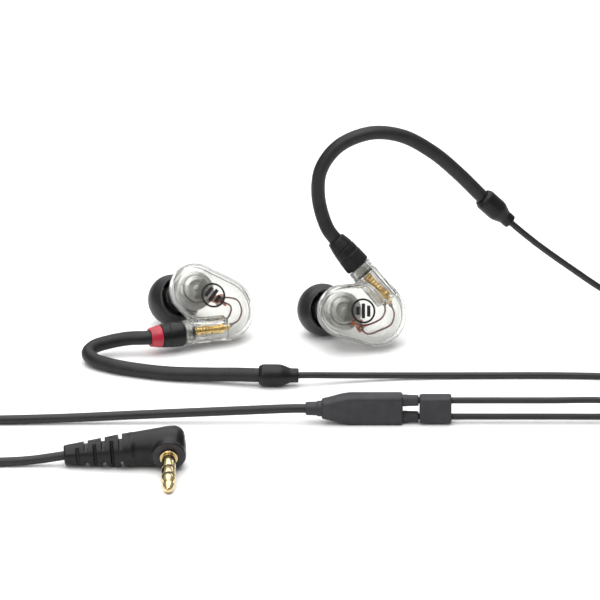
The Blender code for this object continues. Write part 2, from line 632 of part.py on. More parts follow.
def build_plug():
    """Angled plug: slotted strain relief, smooth elbow and a stacked three-pole jack."""
    tail = Vector((PLUG_TAIL_X, PLUG_Y, PLUG_TAIL_Z))
    waist = Vector((PLUG_WAIST_X, PLUG_Y, PLUG_WAIST_Z))
    head = Vector((PLUG_HEAD_X, PLUG_Y, PLUG_HEAD_Z))
    relief_length = (waist - tail).length
    frame = aim(tail, waist)
    hole = MAIN_D / 2 + FIT_GAP
    overmould = turned("plug_overmould",
                       [(0, relief_length + 1.5 * MM),
                        (PLUG_WAIST_RADIUS - 0.2 * MM, relief_length + 1.5 * MM),
                        (PLUG_WAIST_RADIUS, relief_length), (PLUG_TAIL_RADIUS, 0.6 * MM),
                        (PLUG_TAIL_RADIUS - 0.4 * MM, 0), (hole, 0), (hole, 1.2 * MM),
                        (0, 1.2 * MM)],
                       MOULDED, None, frame, steps=24)
    core = 1.55 * MM
    slot = 0.95 * MM
    for number in range(6):
        along = 3.4 * MM + 2.12 * MM * number
        for way in (-1, 1):
            reach = 6 * MM
            size = (reach, 12 * MM, slot) if number % 2 == 0 else (12 * MM, reach, slot)
            offset = way * (core + reach / 2)
            centre = (offset, 0, along) if number % 2 == 0 else (0, offset, along)
            tool = box(f"plug_cut_slot_{number}_{way + 1}", size, (0, 0, 0), cutter=True)
            tool.matrix_local = frame @ Matrix.Translation(centre)
            cut(overmould, tool)
    elbow_length = (head - waist).length
    crown = math.radians(90)
    dome = [(PLUG_HEAD_RADIUS * math.cos(crown * step / 5),
             elbow_length + 4.2 * MM * math.sin(crown * step / 5)) for step in range(5, -1, -1)]
    elbow = turned("plug_cut_elbow",
                   dome + [(PLUG_WAIST_RADIUS, 0.2 * MM), (PLUG_WAIST_RADIUS - 0.3 * MM, 0),
                           (0, 0)], None, None,
                   aim(waist, head) @ Matrix.Scale(PLUG_SLIMNESS, 4, (1, 0, 0)), steps=24,
                   cutter=True)
    cut(overmould, elbow, "UNION")
    pin_way = Vector((0, -math.cos(PLUG_LEAN), -math.sin(PLUG_LEAN)))
    pin_frame = aim(head, head + pin_way)
    face = turned("plug_cut_face",
                  [(0, PLUG_FACE), (PLUG_FACE_RADIUS - 0.3 * MM, PLUG_FACE),
                   (PLUG_FACE_RADIUS, PLUG_FACE - 0.3 * MM), (PLUG_FACE_RADIUS, -1 * MM),
                   (0, -1 * MM)], None, None, pin_frame, steps=24, cutter=True)
    cut(overmould, face, "UNION")

    seat = PLUG_FACE + FIT_GAP
    stack = [("jack_collar", [(2.2, 0.0), (2.2, 0.7)]),
             ("jack_sleeve", [(1.75, 0.85), (1.75, 5.35)]),
             ("jack_rear_insulator", [(1.7, 5.45), (1.7, 5.85)]),
             ("jack_ring", [(1.75, 5.95), (1.75, 8.3)]),
             ("jack_front_insulator", [(1.7, 8.4), (1.7, 8.8)]),
             ("jack_tip", [(1.72, 8.9), (1.72, 10.2), (1.25, 10.9), (1.6, 12.0), (1.45, 12.7),
                           (0.9, 13.9), (0.35, 14.3)])]
    for name, steps in stack:
        outer = [(radius * MM, seat + height * MM) for radius, height in reversed(steps)]
        profile = [(0, outer[0][1]), *outer, (0, outer[-1][1])]
        material = DARK_RING if "insulator" in name else GOLD
        turned(name, profile, material, None, pin_frame, steps=16)
    return tail + (waist - tail).normalized() * (1.2 * MM - JOIN_GAP), (tail - waist).normalized()


# === Cable runs and coils ===========================================================================
def coil_ring(name, coil):
    """Solid ring with the outer shape of a wound coil, lying on the table."""
    (x, y), radius, half_width, height = coil
    inner, outer = (radius - half_width) * MM, (radius + half_width) * MM
    corner = 0.5 * MM
    top = height * MM
    profile = [(outer - corner, top), (outer, top - corner), (outer, corner), (outer - corner, 0),
               (inner + corner, 0), (inner, corner), (inner, top - corner), (inner + corner, top)]
    lift = Matrix.Translation((x * MM, y * MM, 0.02 * MM))
    turned(name, profile, CORD_SKIN, None, lift, steps=28, ring=True)


def cord(name, points, diameter):
    tube(name, points, diameter, CORD_SKIN, CORD_SPACING * diameter)


def build_cords(boot_exits, stub_end, plug_exit, plug_way):
    """Cables in runs that meet the boots, coils, splitter and plug face to face."""
    hole_floor = stub_end - 1.2 * MM + JOIN_GAP
    plans = {"right": (RIGHT_COIL, RIGHT_LEAD_ROUTE, RIGHT_RETURN_ROUTE, BRANCH_HEIGHTS[0]),
             "left": (LEFT_COIL, LEFT_LEAD_ROUTE, LEFT_RETURN_ROUTE, BRANCH_HEIGHTS[1])}
    for side, (coil, lead, back, height) in plans.items():
        start, forward = boot_exits[side]
        clear = start + forward * 2.5 * MM
        coil_ring(f"{side}_branch_coil", coil)
        cord(f"{side}_branch_lead", [start, clear, *millimetres(lead)], BRANCH_D)
        end = Vector((hole_floor, 0, height))
        cord(f"{side}_branch_return", [*millimetres(back), end], BRANCH_D)
    coil_ring("main_coil", MAIN_COIL)
    start = Vector((-hole_floor, 0, SPLITTER_HEIGHT / 2))
    near = start - Vector((4 * MM, 0, 0))
    cord("main_lead", [start, near, *millimetres(MAIN_LEAD_ROUTE)], MAIN_D)
    cord("plug_lead",
         [*millimetres(PLUG_LEAD_ROUTE), plug_exit + plug_way * 4 * MM, plug_exit], MAIN_D)


# === The whole set ==================================================================================
def earpiece_matrix(mouth, yaw, lean, socket_angle):
    """World frame of an earpiece from where its socket mouth lies and how its face is turned."""
    level = Vector((math.cos(yaw), math.sin(yaw), 0))
    face = Vector((math.sin(yaw) * math.cos(lean), -math.cos(yaw) * math.cos(lean), math.sin(lean)))
    rising = face.cross(level)
    socket = level * math.cos(socket_angle) + rising * math.sin(socket_angle)
    across = face.cross(socket)
    turn = Matrix((socket, across, face)).transposed().to_4x4()
    return Matrix.Translation(mouth) @ turn


def main():
    sides = {
        "right": (-1, RED, (RIGHT_MOUTH, RIGHT_YAW, RIGHT_LEAN, RIGHT_SOCKET), RIGHT_HOOK_ROUTE,
                  RIGHT_BOOT_START, RIGHT_BOOT_AIM),
        "left": (1, MOULDED, (LEFT_MOUTH, LEFT_YAW, LEFT_LEAN, LEFT_SOCKET), LEFT_HOOK_ROUTE,
                 LEFT_BOOT_START, LEFT_BOOT_AIM),
    }
    boot_exits = {}
    for side, (hand, marker, pose, route, boot_start, boot_aim) in sides.items():
        base = add_empty(f"{side}_connector_axis", earpiece_matrix(*pose))
        bpy.context.view_layer.update()
        build_earpiece(side, hand, base)
        ring_start = build_connector(side, marker, base)
        boot_exits[side] = build_hook(side, base, ring_start, route, boot_start, boot_aim)
    stub_end = build_splitter()
    build_slider(stub_end)
    plug_exit, plug_way = build_plug()
    build_cords(boot_exits, stub_end, plug_exit, plug_way)
    bpy.context.view_layer.update()


main()
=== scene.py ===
"""Finished model of a pair of clear in-ear stage monitors with their detachable cable.

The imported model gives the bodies, their joints and the places of the pieces.  Around it this script
builds the clear casings and what shows through them, the silicone tips, the ear hooks, the cable
with its coils, splitter and slider, and the angled stereo plug, then sets up the studio.

Routes, profiles and the sizes of the ear tips and the printed mark are in millimetres.  Every other
length is in metres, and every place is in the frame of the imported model.
"""
from __future__ import annotations

import json
import logging
import math
from collections.abc import Callable, Sequence
from dataclasses import dataclass, field
from enum import Enum
from typing import Any, ClassVar

import bmesh
import bpy
import numpy as np
from mathutils import Matrix, Vector

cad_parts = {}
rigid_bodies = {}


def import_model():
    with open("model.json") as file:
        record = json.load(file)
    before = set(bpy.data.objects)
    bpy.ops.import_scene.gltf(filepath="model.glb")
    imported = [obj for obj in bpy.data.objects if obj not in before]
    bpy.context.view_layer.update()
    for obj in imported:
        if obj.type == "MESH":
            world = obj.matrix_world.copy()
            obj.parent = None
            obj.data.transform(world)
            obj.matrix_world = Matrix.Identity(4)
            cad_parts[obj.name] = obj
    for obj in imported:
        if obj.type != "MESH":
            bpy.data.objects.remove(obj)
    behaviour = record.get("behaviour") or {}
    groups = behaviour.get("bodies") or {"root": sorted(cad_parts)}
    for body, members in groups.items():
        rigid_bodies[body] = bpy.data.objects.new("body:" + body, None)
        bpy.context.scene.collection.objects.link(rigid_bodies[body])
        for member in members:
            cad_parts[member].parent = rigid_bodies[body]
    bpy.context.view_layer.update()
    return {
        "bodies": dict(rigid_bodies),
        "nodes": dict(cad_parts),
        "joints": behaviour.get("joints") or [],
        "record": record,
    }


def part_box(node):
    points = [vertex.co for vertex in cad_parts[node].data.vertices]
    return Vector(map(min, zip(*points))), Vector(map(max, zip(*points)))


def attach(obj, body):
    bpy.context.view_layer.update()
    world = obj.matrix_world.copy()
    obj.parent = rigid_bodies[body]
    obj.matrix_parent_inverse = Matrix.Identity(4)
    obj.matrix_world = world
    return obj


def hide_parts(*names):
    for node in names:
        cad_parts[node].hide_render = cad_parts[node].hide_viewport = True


LOG = logging.getLogger("in_ear_monitors")
MM = 0.001
QUARTER = math.radians(90)
# Edges sharper than this keep their crease, and points nearer than this are one point.
SHARP_EDGE = math.radians(38)
WELD = 0.0001 * MM
# How often a field's surface is evened out, and drawn onto the field before each time.
ROUNDS, PULLS = 4, 3
Point = tuple[float, float, float]
Profile = list[tuple[float, float]]
Colour = tuple[float, float, float]
Field = Callable[[np.ndarray], np.ndarray]


class Side(Enum):
    """The two channels, and the way each one's face is mirrored."""

    RIGHT = -1
    LEFT = 1

    @property
    def label(self) -> str:
        """Lower-case name that starts the names of the side's pieces."""
        return self.name.lower()


class Body(Enum):
    """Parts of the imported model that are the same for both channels."""

    CABLE = "cable_set"
    SLIDER = "slider"


# === Shader maths ================================================================================
def linear(code: str) -> Colour:
    """Turn a six-digit display colour into a linear one.

    Args:
        code: The colour as it looks on a display, such as "b02238".

    Returns:
        Linear red, green and blue.
    """
    shares = [int(code[at:at + 2], 16) / 255 for at in (0, 2, 4)]
    return tuple(((s + 0.055) / 1.055) ** 2.4 if s > 0.04045 else s / 12.92 for s in shares)


class Amount:
    """A value that changes over a surface; an expression on it adds Math nodes."""

    def __init__(self, recipe: Recipe, socket: bpy.types.NodeSocket) -> None:
        """Wrap an output socket of a recipe's node."""
        self.recipe = recipe
        self.socket = socket

    def math(self, operation: str, *values: Amount | float) -> Amount:
        """Add one Math node.

        Args:
            operation: The node's operation.
            values: Its inputs in order.

        Returns:
            The node's result.
        """
        made = self.recipe.node("ShaderNodeMath", {"operation": operation}, dict(enumerate(values)))
        return Amount(self.recipe, made.outputs[0])

    def __add__(self, other: Amount | float) -> Amount:
        """Sum."""
        return self.math("ADD", self, other)

    def __radd__(self, other: float) -> Amount:
        """Sum with a plain number first."""
        return self.math("ADD", other, self)

    def __sub__(self, other: Amount | float) -> Amount:
        """Difference."""
        return self.math("SUBTRACT", self, other)

    def __rsub__(self, other: float) -> Amount:
        """Difference with a plain number first."""
        return self.math("SUBTRACT", other, self)

    def __mul__(self, other: Amount | float) -> Amount:
        """Product."""
        return self.math("MULTIPLY", self, other)

    def __rmul__(self, other: float) -> Amount:
        """Product with a plain number first."""
        return self.math("MULTIPLY", other, self)

    def above(self, edge: float, width: float) -> Amount:
        """Soft step: 0 below the edge, 1 above it.

        Args:
            edge: Where the step's middle is.
            width: How wide the change from 0 to 1 is.

        Returns:
            The step's value.
        """
        made = self.recipe.node(
            "ShaderNodeMapRange", {"interpolation_type": "SMOOTHSTEP"},
            {"Value": self, "From Min": edge - width / 2, "From Max": edge + width / 2})
        return Amount(self.recipe, made.outputs[0])


class Recipe:
    """Node tree of one finish, or of the surroundings."""

    def __init__(self, owner: bpy.types.Material | bpy.types.World,
                 coordinates: str = "Object") -> None:
        """Empty the owner's tree and start it with its coordinates.

        Args:
            owner: The new material or world.
            coordinates: Which coordinates its patterns follow.
        """
        self.owner = owner
        owner.use_nodes = True
        self.tree = owner.node_tree
        self.tree.nodes.clear()
        self.place = self.node("ShaderNodeTexCoord").outputs[coordinates]

    @classmethod
    def of_material(cls, name: str) -> Recipe:
        """Start the recipe of a new material."""
        return cls(bpy.data.materials.new(name))

    def node(self, kind: str, settings: dict[str, Any] | None = None,
             inputs: dict[str | int, Any] | None = None) -> bpy.types.Node:
        """Add a node.

        Args:
            kind: The node's type.
            settings: Its own settings, set first; "stops" are a ramp's (place, colour) pairs.
            inputs: Values or links for its sockets, by name or number.

        Returns:
            The new node.
        """
        made = self.tree.nodes.new(kind)
        for key, value in (settings or {}).items():
            if key == "stops":
                bar = made.color_ramp.elements
                while len(bar) < len(value):
                    bar.new(0.5)
                for stop, (place, colour) in zip(bar, value):
                    stop.position = place
                    stop.color = (*colour, 1.0)
            else:
                setattr(made, key, value)
        for key, value in (inputs or {}).items():
            self.feed(made.inputs[key], value)
        return made

    def feed(self, socket: bpy.types.NodeSocket, value: Any) -> None:
        """Link or set one input socket.

        Args:
            socket: The input.
            value: An amount, an output socket, a number or a colour.
        """
        if isinstance(value, Amount):
            value = value.socket
        if isinstance(value, bpy.types.NodeSocket):
            self.tree.links.new(value, socket)
        elif socket.type == "RGBA":
            socket.default_value = (*value[:3], 1.0)
        else:
            socket.default_value = value

    def noise(self, scale: float, detail: float = 3.0, stretch: Point = (1.0, 1.0, 1.0)) -> Amount:
        """Even, natural variation.

        Args:
            scale: Features per metre.
            detail: Octaves of finer variation.
            stretch: Extra scale along each axis.

        Returns:
            A value around 0.5.
        """
        spot = self.place
        if stretch != (1.0, 1.0, 1.0):
            spot = self.node("ShaderNodeVectorMath", {"operation": "MULTIPLY"},
                             {0: spot, 1: stretch}).outputs[0]
        made = self.node("ShaderNodeTexNoise", {},
                         {"Vector": spot, "Scale": scale, "Detail": detail})
        return Amount(self, made.outputs[0])

    def lines(self, coordinate: Amount, scale: float, detail: float = 2.0) -> Amount:
        """Variation along one coordinate only, such as the marks of a lathe.

        Args:
            coordinate: Distance in metres.
            scale: Features per metre.
            detail: Octaves of finer variation.

        Returns:
            A value around 0.5.
        """
        made = self.node("ShaderNodeTexNoise", {"noise_dimensions": "1D"},
                         {"W": coordinate, "Scale": scale, "Detail": detail})
        return Amount(self, made.outputs[0])

    def from_point(self, middle: Point) -> bpy.types.NodeSocket:
        """Vector from a fixed point to the place on the surface."""
        return self.node("ShaderNodeVectorMath", {"operation": "SUBTRACT"},
                         {0: self.place, 1: middle}).outputs[0]

    def along(self, middle: Point, axis: Point) -> Amount:
        """Distance along an axis through a point.

        Args:
            middle: The point.
            axis: The axis, one metre long.

        Returns:
            The distance in metres.
        """
        made = self.node("ShaderNodeVectorMath", {"operation": "DOT_PRODUCT"},
                         {0: self.from_point(middle), 1: axis})
        return Amount(self, made.outputs["Value"])

    def away(self, middle: Point, axis: Point) -> Amount:
        """Distance from an axis through a point.

        Args:
            middle: The point.
            axis: The axis, one metre long.

        Returns:
            The distance in metres.
        """
        across = self.node("ShaderNodeVectorMath", {"operation": "CROSS_PRODUCT"},
                           {0: self.from_point(middle), 1: axis}).outputs[0]
        made = self.node("ShaderNodeVectorMath", {"operation": "LENGTH"}, {0: across})
        return Amount(self, made.outputs["Value"])

    def mix(self, share: Amount, first: Any, second: Any) -> bpy.types.NodeSocket:
        """Blend two colours.

        Args:
            share: 0 for the first colour, 1 for the second.
            first: A colour or a colour socket.
            second: A colour or a colour socket.

        Returns:
            The blended colour's socket.
        """
        made = self.node("ShaderNodeMix", {"data_type": "RGBA"}, {0: share, 6: first, 7: second})
        return made.outputs[2]

    def bump(self, height: Amount, depth: float) -> bpy.types.NodeSocket:
        """Surface relief.

        Args:
            height: Height from 0 to 1.
            depth: How far 1 stands above 0, in metres.

        Returns:
            The normal for a shader.
        """
        made = self.node("ShaderNodeBump", {},
                         {"Height": height, "Distance": depth, "Strength": 1.0})
        return made.outputs[0]

    def surface(self, **inputs: Any) -> bpy.types.Material:
        """Close the recipe with its shader.

        Args:
            inputs: Values or links for the shader's sockets, with _ for each space.

        Returns:
            The finished material.
        """
        shader = self.node("ShaderNodeBsdfPrincipled", {},
                           {key.replace("_", " "): value for key, value in inputs.items()})
        self.node("ShaderNodeOutputMaterial", {}, {"Surface": shader.outputs[0]})
        return self.owner


# === Finishes ====================================================================================
@dataclass(frozen=True)
class Moulding:
    """Dyed plastic or rubber with a fine grain, faint mottling and worn-in gloss."""

    name: str
    dark: str
    light: str
    roughness: tuple[float, float] = (0.42, 0.56)
    mottle: float = 420.0
    grain: float = 9000.0
    grain_depth: float = 0.012 * MM
    sheen: float = 0.0
    coat: float = 0.0
    specular: float = 0.42

    def make(self) -> bpy.types.Material:
        """Build the finish.

        Returns:
            Its material.
        """
        recipe = Recipe.of_material(self.name)
        patches = recipe.noise(self.mottle, 4.0)
        handled = recipe.noise(self.mottle * 0.35, 2.0).above(0.5, 0.5)
        grain = recipe.noise(self.grain, 2.0)
        low, high = self.roughness
        colour = recipe.mix(patches.above(0.5, 0.4), linear(self.dark), linear(self.light))
        return recipe.surface(
            Base_Color=colour, Roughness=handled * (high - low) + grain * 0.05 + (low - 0.02),
            Normal=recipe.bump(grain * 0.8 + patches * 0.2, self.grain_depth),
            Specular_IOR_Level=self.specular, Sheen_Weight=self.sheen, Sheen_Roughness=0.4,
            Coat_Weight=self.coat, Coat_Roughness=0.25)


@dataclass(frozen=True)
class CableSkin:
    """Extruded sheath: long faint draw marks and a satin gloss."""

    name: str = "cable_sheath_finish"
    dark: str = "121213"
    light: str = "1e1e20"

    def make(self) -> bpy.types.Material:
        """Build the finish.

        Returns:
            Its material.
        """
        recipe = Recipe.of_material(self.name)
        drawn = recipe.noise(2600.0, 3.0, (0.12, 1.0, 1.0))
        rubbed = recipe.noise(260.0, 3.0).above(0.52, 0.3)
        pores = recipe.noise(11000.0, 1.0)
        colour = recipe.mix(rubbed * 0.6 + drawn * 0.4, linear(self.dark), linear(self.light))
        return recipe.surface(
            Base_Color=colour, Roughness=drawn * 0.1 + rubbed * 0.06 + 0.4,
            Normal=recipe.bump(drawn * 0.7 + pores * 0.3, 0.01 * MM), Specular_IOR_Level=0.4,
            Coat_Weight=0.05, Coat_Roughness=0.3)


@dataclass(frozen=True)
class ClearPlastic:
    """Polished clear casing: full transmission with a faint moulding ripple and a smoky tint."""

    name: str = "clear_casing_finish"
    tint: str = "f7f7f4"
    cloud: str = "ededea"
    alpha: float = 0.94

    def make(self) -> bpy.types.Material:
        """Build the finish.

        Returns:
            Its material.
        """
        recipe = Recipe.of_material(self.name)
        ripple = recipe.noise(180.0, 1.0)
        handled = recipe.noise(700.0, 3.0).above(0.58, 0.2)
        colour = recipe.mix(ripple.above(0.5, 0.6), linear(self.tint), linear(self.cloud))
        return recipe.surface(
            Base_Color=colour, Roughness=handled * 0.04 + 0.025,
            Normal=recipe.bump(ripple, 0.05 * MM), Transmission_Weight=1.0, IOR=1.52,
            Alpha=self.alpha)


@dataclass(frozen=True)
class TurnedMetal:
    """Plated or bare metal with the marks of a lathe about its axis."""

    name: str
    base: str
    warm: str
    middle: Point
    axis: Point
    roughness: tuple[float, float] = (0.14, 0.3)

    def make(self) -> bpy.types.Material:
        """Build the finish.

        Returns:
            Its material.
        """
        recipe = Recipe.of_material(self.name)
        rings = recipe.lines(recipe.along(self.middle, self.axis), 9000.0)
        faced = recipe.lines(recipe.away(self.middle, self.axis), 7000.0)
        worn = recipe.noise(900.0, 3.0).above(0.56, 0.25)
        low, high = self.roughness
        colour = recipe.mix(worn * 0.7 + rings * 0.3, linear(self.base), linear(self.warm))
        return recipe.surface(
            Base_Color=colour, Metallic=1.0,
            Roughness=rings * (high - low) + worn * 0.08 + low,
            Normal=recipe.bump(rings * 0.6 + faced * 0.4, 0.004 * MM))


@dataclass(frozen=True)
class BoardFinish:
    """Solder-masked terminal board: warm orange-red with a tinned patch pattern."""

    name: str = "terminal_board_finish"

    def make(self) -> bpy.types.Material:
        """Build the finish.

        Returns:
            Its material.
        """
        recipe = Recipe.of_material(self.name)
        tracks = recipe.noise(1500.0, 0.0).above(0.55, 0.06)
        glow = recipe.noise(500.0, 2.0)
        mask = recipe.mix(glow, linear("c8401c"), linear("ee7443"))
        return recipe.surface(
            Base_Color=recipe.mix(tracks, mask, linear("e9b48a")), Roughness=0.5 - tracks * 0.2,
            Normal=recipe.bump(tracks, 0.03 * MM), Coat_Weight=0.3, Coat_Roughness=0.15)


@dataclass(frozen=True)
class EnamelWire:
    """Twisted pair in dark red enamel."""

    name: str = "enamelled_wire_finish"

    def make(self) -> bpy.types.Material:
        """Build the finish.

        Returns:
            Its material.
        """
        recipe = Recipe.of_material(self.name)
        strands = recipe.noise(5000.0, 2.0).above(0.5, 0.2)
        return recipe.surface(
            Base_Color=recipe.mix(strands, linear("521d22"), linear("8c4a48")), Metallic=0.4,
            Roughness=strands * 0.15 + 0.3, Normal=recipe.bump(strands, 0.02 * MM))


@dataclass(frozen=True)
class Tabletop:
    """White sweep that the set lies on, with painted shade: its colour turns grey far away from it,
    for the dimmer light far from the lamps.
    """

    name: str = "tabletop_finish"
    bright_reach: float = 0.95
    fade: float = 0.45

    def make(self) -> bpy.types.Material:
        """Build the finish.

        Returns:
            Its material.
        """
        recipe = Recipe.of_material(self.name)
        fibres = recipe.noise(900.0, 2.0)
        distance = recipe.away((0.0, 0.02, 0.0), (0.0, 0.0, 1.0))
        # Painted shade: beyond about a metre from the set the floor's colour turns from white to
        # grey, standing in for the light falling off far from the lamps.
        painted_far_shade = distance.above(self.bright_reach, self.fade)
        white = recipe.mix(fibres, (0.9, 0.9, 0.9), (0.93, 0.93, 0.93))
        return recipe.surface(Base_Color=recipe.mix(painted_far_shade, white, (0.3, 0.3, 0.3)),
                              Roughness=0.62)


# === Mesh tools ==================================================================================
def link(name: str, data: bpy.types.ID) -> bpy.types.Object:
    """Put a mesh, curve, lamp or camera in the scene.

    Args:
        name: The object's name.
        data: What it shows.

    Returns:
        The new object.
    """
    piece = bpy.data.objects.new(name, data)
    bpy.context.scene.collection.objects.link(piece)
    return piece


def smooth(mesh: bpy.types.Mesh) -> bpy.types.Mesh:
    """Shade a mesh smooth with its real edges kept sharp.

    Args:
        mesh: The mesh.

    Returns:
        The same mesh.
    """
    mesh.shade_smooth()
    mesh.set_sharp_from_angle(angle=SHARP_EDGE)
    return mesh


def solid(name: str, points: Any, faces: Any) -> bpy.types.Object:
    """Piece from points and faces, with its faces turned outwards.

    Args:
        name: The piece's name.
        points: Rows of x, y, z.
        faces: Lists of point numbers.

    Returns:
        The smooth-shaded piece.
    """
    mesh = bpy.data.meshes.new(name)
    mesh.from_pydata([tuple(map(float, p)) for p in points], [], faces)
    form = bmesh.new()
    form.from_mesh(mesh)
    bmesh.ops.remove_doubles(form, verts=form.verts, dist=WELD)
    bmesh.ops.recalc_face_normals(form, faces=form.faces)
    form.to_mesh(mesh)
    form.free()
    return link(name, smooth(mesh))


def stacked_faces(count: int, rings: int, first: int = 0) -> list[list[int]]:
    """Faces of a closed stack of rings.

    Args:
        count: Points in each ring.
        rings: How many rings there are.
        first: Number of the first ring's first point.

    Returns:
        The two ends and the walls between the rings.
    """
    starts = [first + count * ring for ring in range(rings)]
    faces = [list(range(start, start + count)) for start in (starts[0], starts[-1])]
    for low, high in zip(starts, starts[1:]):
        faces += [[low + i, low + (i + 1) % count, high + (i + 1) % count, high + i]
                  for i in range(count)]
    return faces


def in_metres(profile: Profile, rise: float = 0.0) -> Profile:
    """Profile in metres from one in millimetres, moved along its axis by a rise in metres."""
    return [(r * MM, rise + h * MM) for r, h in profile]


def softened(profile: Profile, radius: float, closed: bool = False, count: int = 4) -> Profile:
    """Round the corners of a profile.

    Args:
        profile: (distance from the axis, height) points.
        radius: Radius of the rounding, less where a side is short.
        closed: True if the profile's last point joins its first.
        count: Steps in each rounding.

    Returns:
        The profile with an arc of points for each corner.
    """
    spots = [Vector((r, h, 0.0)) for r, h in profile]
    result: Profile = []
    last = len(spots) - 1
    for index, spot in enumerate(spots):
        if not closed and index in (0, last):
            result.append((spot.x, spot.y))
            continue
        before = spots[index - 1] - spot
        after = spots[(index + 1) % len(spots)] - spot
        reach = min(radius, before.length * 0.45, after.length * 0.45)
        start, end = spot + before.normalized() * reach, spot + after.normalized() * reach
        for step in range(count + 1):
            share = step / count
            bend = start.lerp(spot, share).lerp(spot.lerp(end, share), share)
            result.append((max(0.0, bend.x), bend.y))
    return result


def lathe(name: str, profile: Profile, place: Matrix, closed: bool = False,
          steps: int = 56) -> bpy.types.Object:
    """Turn a profile about the local Z axis.

    Args:
        name: The piece's name.
        profile: (distance from the axis, height) points.
        place: Where the axis stands.
        closed: True for a ring, whose profile is a loop away from the axis.
        steps: Steps round the axis.

    Returns:
        The turned piece, with its place in its mesh.
    """
    points: list[Vector] = []
    rings: list[list[int]] = []
    for radius, height in profile:
        turns = steps if radius > WELD else 1
        rings.append(list(range(len(points), len(points) + turns)))
        for step in range(turns):
            angle = math.tau * step / steps
            spot = Vector((radius * math.cos(angle), radius * math.sin(angle), height))
            points.append(place @ spot)
    faces: list[list[int]] = []
    pairs = list(zip(rings, rings[1:]))
    if closed:
        pairs.append((rings[-1], rings[0]))
    for low, high in pairs:
        for step in range(steps):
            after = (step + 1) % steps
            corners = list(dict.fromkeys([low[step % len(low)], low[after % len(low)],
                                          high[after % len(high)], high[step % len(high)]]))
            if len(corners) > 2:
                faces.append(corners)
    return solid(name, points, faces)


def block(name: str, size: Point, place: Matrix, rounding: float = 0.0) -> bpy.types.Object:
    """Box with rounded edges, for cutting.

    Args:
        name: The box's name.
        size: Its sides.
        place: Where its middle stands.
        rounding: Radius of its edges.

    Returns:
        The box, with its place in its mesh.
    """
    form = bmesh.new()
    bmesh.ops.create_cube(form, size=1.0)
    bmesh.ops.scale(form, vec=size, verts=form.verts)
    if rounding:
        bmesh.ops.bevel(form, geom=list(form.edges), offset=rounding, segments=3, profile=0.5,
                        affect="EDGES")
    bmesh.ops.transform(form, matrix=place, verts=form.verts)
    mesh = bpy.data.meshes.new(name)
    form.to_mesh(mesh)
    form.free()
    return link(name, smooth(mesh))


def round_cut(name: str, radius: float, low: float, high: float, place: Matrix,
              steps: int = 56) -> bpy.types.Object:
    """Plain cylinder for cutting a hole.

    Args:
        name: The cylinder's name.
        radius: Its radius.
        low: Its start along the local Z axis.
        high: Its end.
        place: Its frame.
        steps: Steps round the axis.

    Returns:
        The cylinder.
    """
    return lathe(name, [(0, low), (radius, low), (radius, high), (0, high)], place, steps=steps)


def carve(piece: bpy.types.Object, *changes: tuple[str, bpy.types.Object]) -> bpy.types.Object:
    """Apply Booleans to a piece and remove their tools.

    Args:
        piece: The piece to change.
        changes: (operation, tool) pairs in order.

    Returns:
        The changed piece.
    """
    for operation, tool in changes:
        change = piece.modifiers.new(operation, "BOOLEAN")
        change.operation = operation
        change.object = tool
        change.solver = "MANIFOLD"
    bpy.context.view_layer.update()
    changed = piece.evaluated_get(bpy.context.evaluated_depsgraph_get())
    mesh = bpy.data.meshes.new_from_object(changed)
    piece.modifiers.clear()
    piece.data = smooth(mesh)
    for _, tool in changes:
        bpy.data.objects.remove(tool, do_unlink=True)
    return piece


def along(start: Point | Vector, way: Point | Vector) -> Matrix:
    """Frame at a point whose Z axis points a given way."""
    turn = Vector(way).to_track_quat("Z", "Y").to_matrix().to_4x4()
    return Matrix.Translation(Vector(start)) @ turn


def smooth_route(points: Sequence[Vector], spacing: float) -> list[Vector]:
    """Even points on a centripetal Catmull-Rom curve.

    Args:
        points: The points that the curve goes through.
        spacing: Distance between the points of the result.

    Returns:
        The curve's points from the first to the last.
    """
    knots = [Vector(point) for point in points]
    knots = [knots[0] * 2 - knots[1], *knots, knots[-1] * 2 - knots[-2]]
    dense: list[Vector] = []
    for p0, p1, p2, p3 in zip(knots, knots[1:], knots[2:], knots[3:]):
        t1 = math.sqrt((p1 - p0).length)
        t2 = t1 + math.sqrt((p2 - p1).length)
        t3 = t2 + math.sqrt((p3 - p2).length)
        for step in range(12):
            t = t1 + (t2 - t1) * step / 12
            a1, a2 = p0.lerp(p1, t / t1), p1.lerp(p2, (t - t1) / (t2 - t1))
            a3 = p2.lerp(p3, (t - t2) / (t3 - t2))
            b1, b2 = a1.lerp(a2, t / t2), a2.lerp(a3, (t - t1) / (t3 - t1))
            dense.append(b1.lerp(b2, (t - t1) / (t2 - t1)))
    dense.append(knots[-2])
    line = np.array(dense)
    run = np.concatenate([[0.0], np.cumsum(np.linalg.norm(np.diff(line, axis=0), axis=1))])
    marks = np.linspace(0.0, run[-1], max(3, round(run[-1] / spacing) + 1))
    return [Vector([float(np.interp(mark, run, line[:, k])) for k in range(3)]) for mark in marks]


def run_length(points: Sequence[Vector]) -> float:
    """Length of a line through points."""
    return sum((after - before).length for before, after in zip(points, points[1:]))


def tube(name: str, points: Sequence[Vector], diameter: float) -> bpy.types.Object:
    """Round tube with closed ends along a line.

    Args:
        name: The piece's name.
        points: The line's points.
        diameter: The tube's outer diameter.

    Returns:
        A curve object of one open spline.
    """
    curve = bpy.data.curves.new(name, "CURVE")
    curve.dimensions = "3D"
    curve.bevel_depth = diameter / 2
    curve.bevel_resolution = 6
    curve.use_fill_caps = True
    spline = curve.splines.new("POLY")
    spline.points.add(len(points) - 1)
    for knot, spot in zip(spline.points, points):
        knot.co = (*spot, 1.0)
    spline.use_smooth = True
    return link(name, curve)


# --- Surfaces from fields ------------------------------------------------------------------------
def blend_min(first: np.ndarray, second: np.ndarray, width: float) -> np.ndarray:
    """Union of two fields with a fillet between them.

    Args:
        first: Values of one field, below zero inside.
        second: Values of the other.
        width: Size of the fillet.

    Returns:
        Values of the joined field.
    """
    share = np.clip(0.5 + 0.5 * (second - first) / width, 0.0, 1.0)
    return second + (first - second) * share - width * share * (1.0 - share)


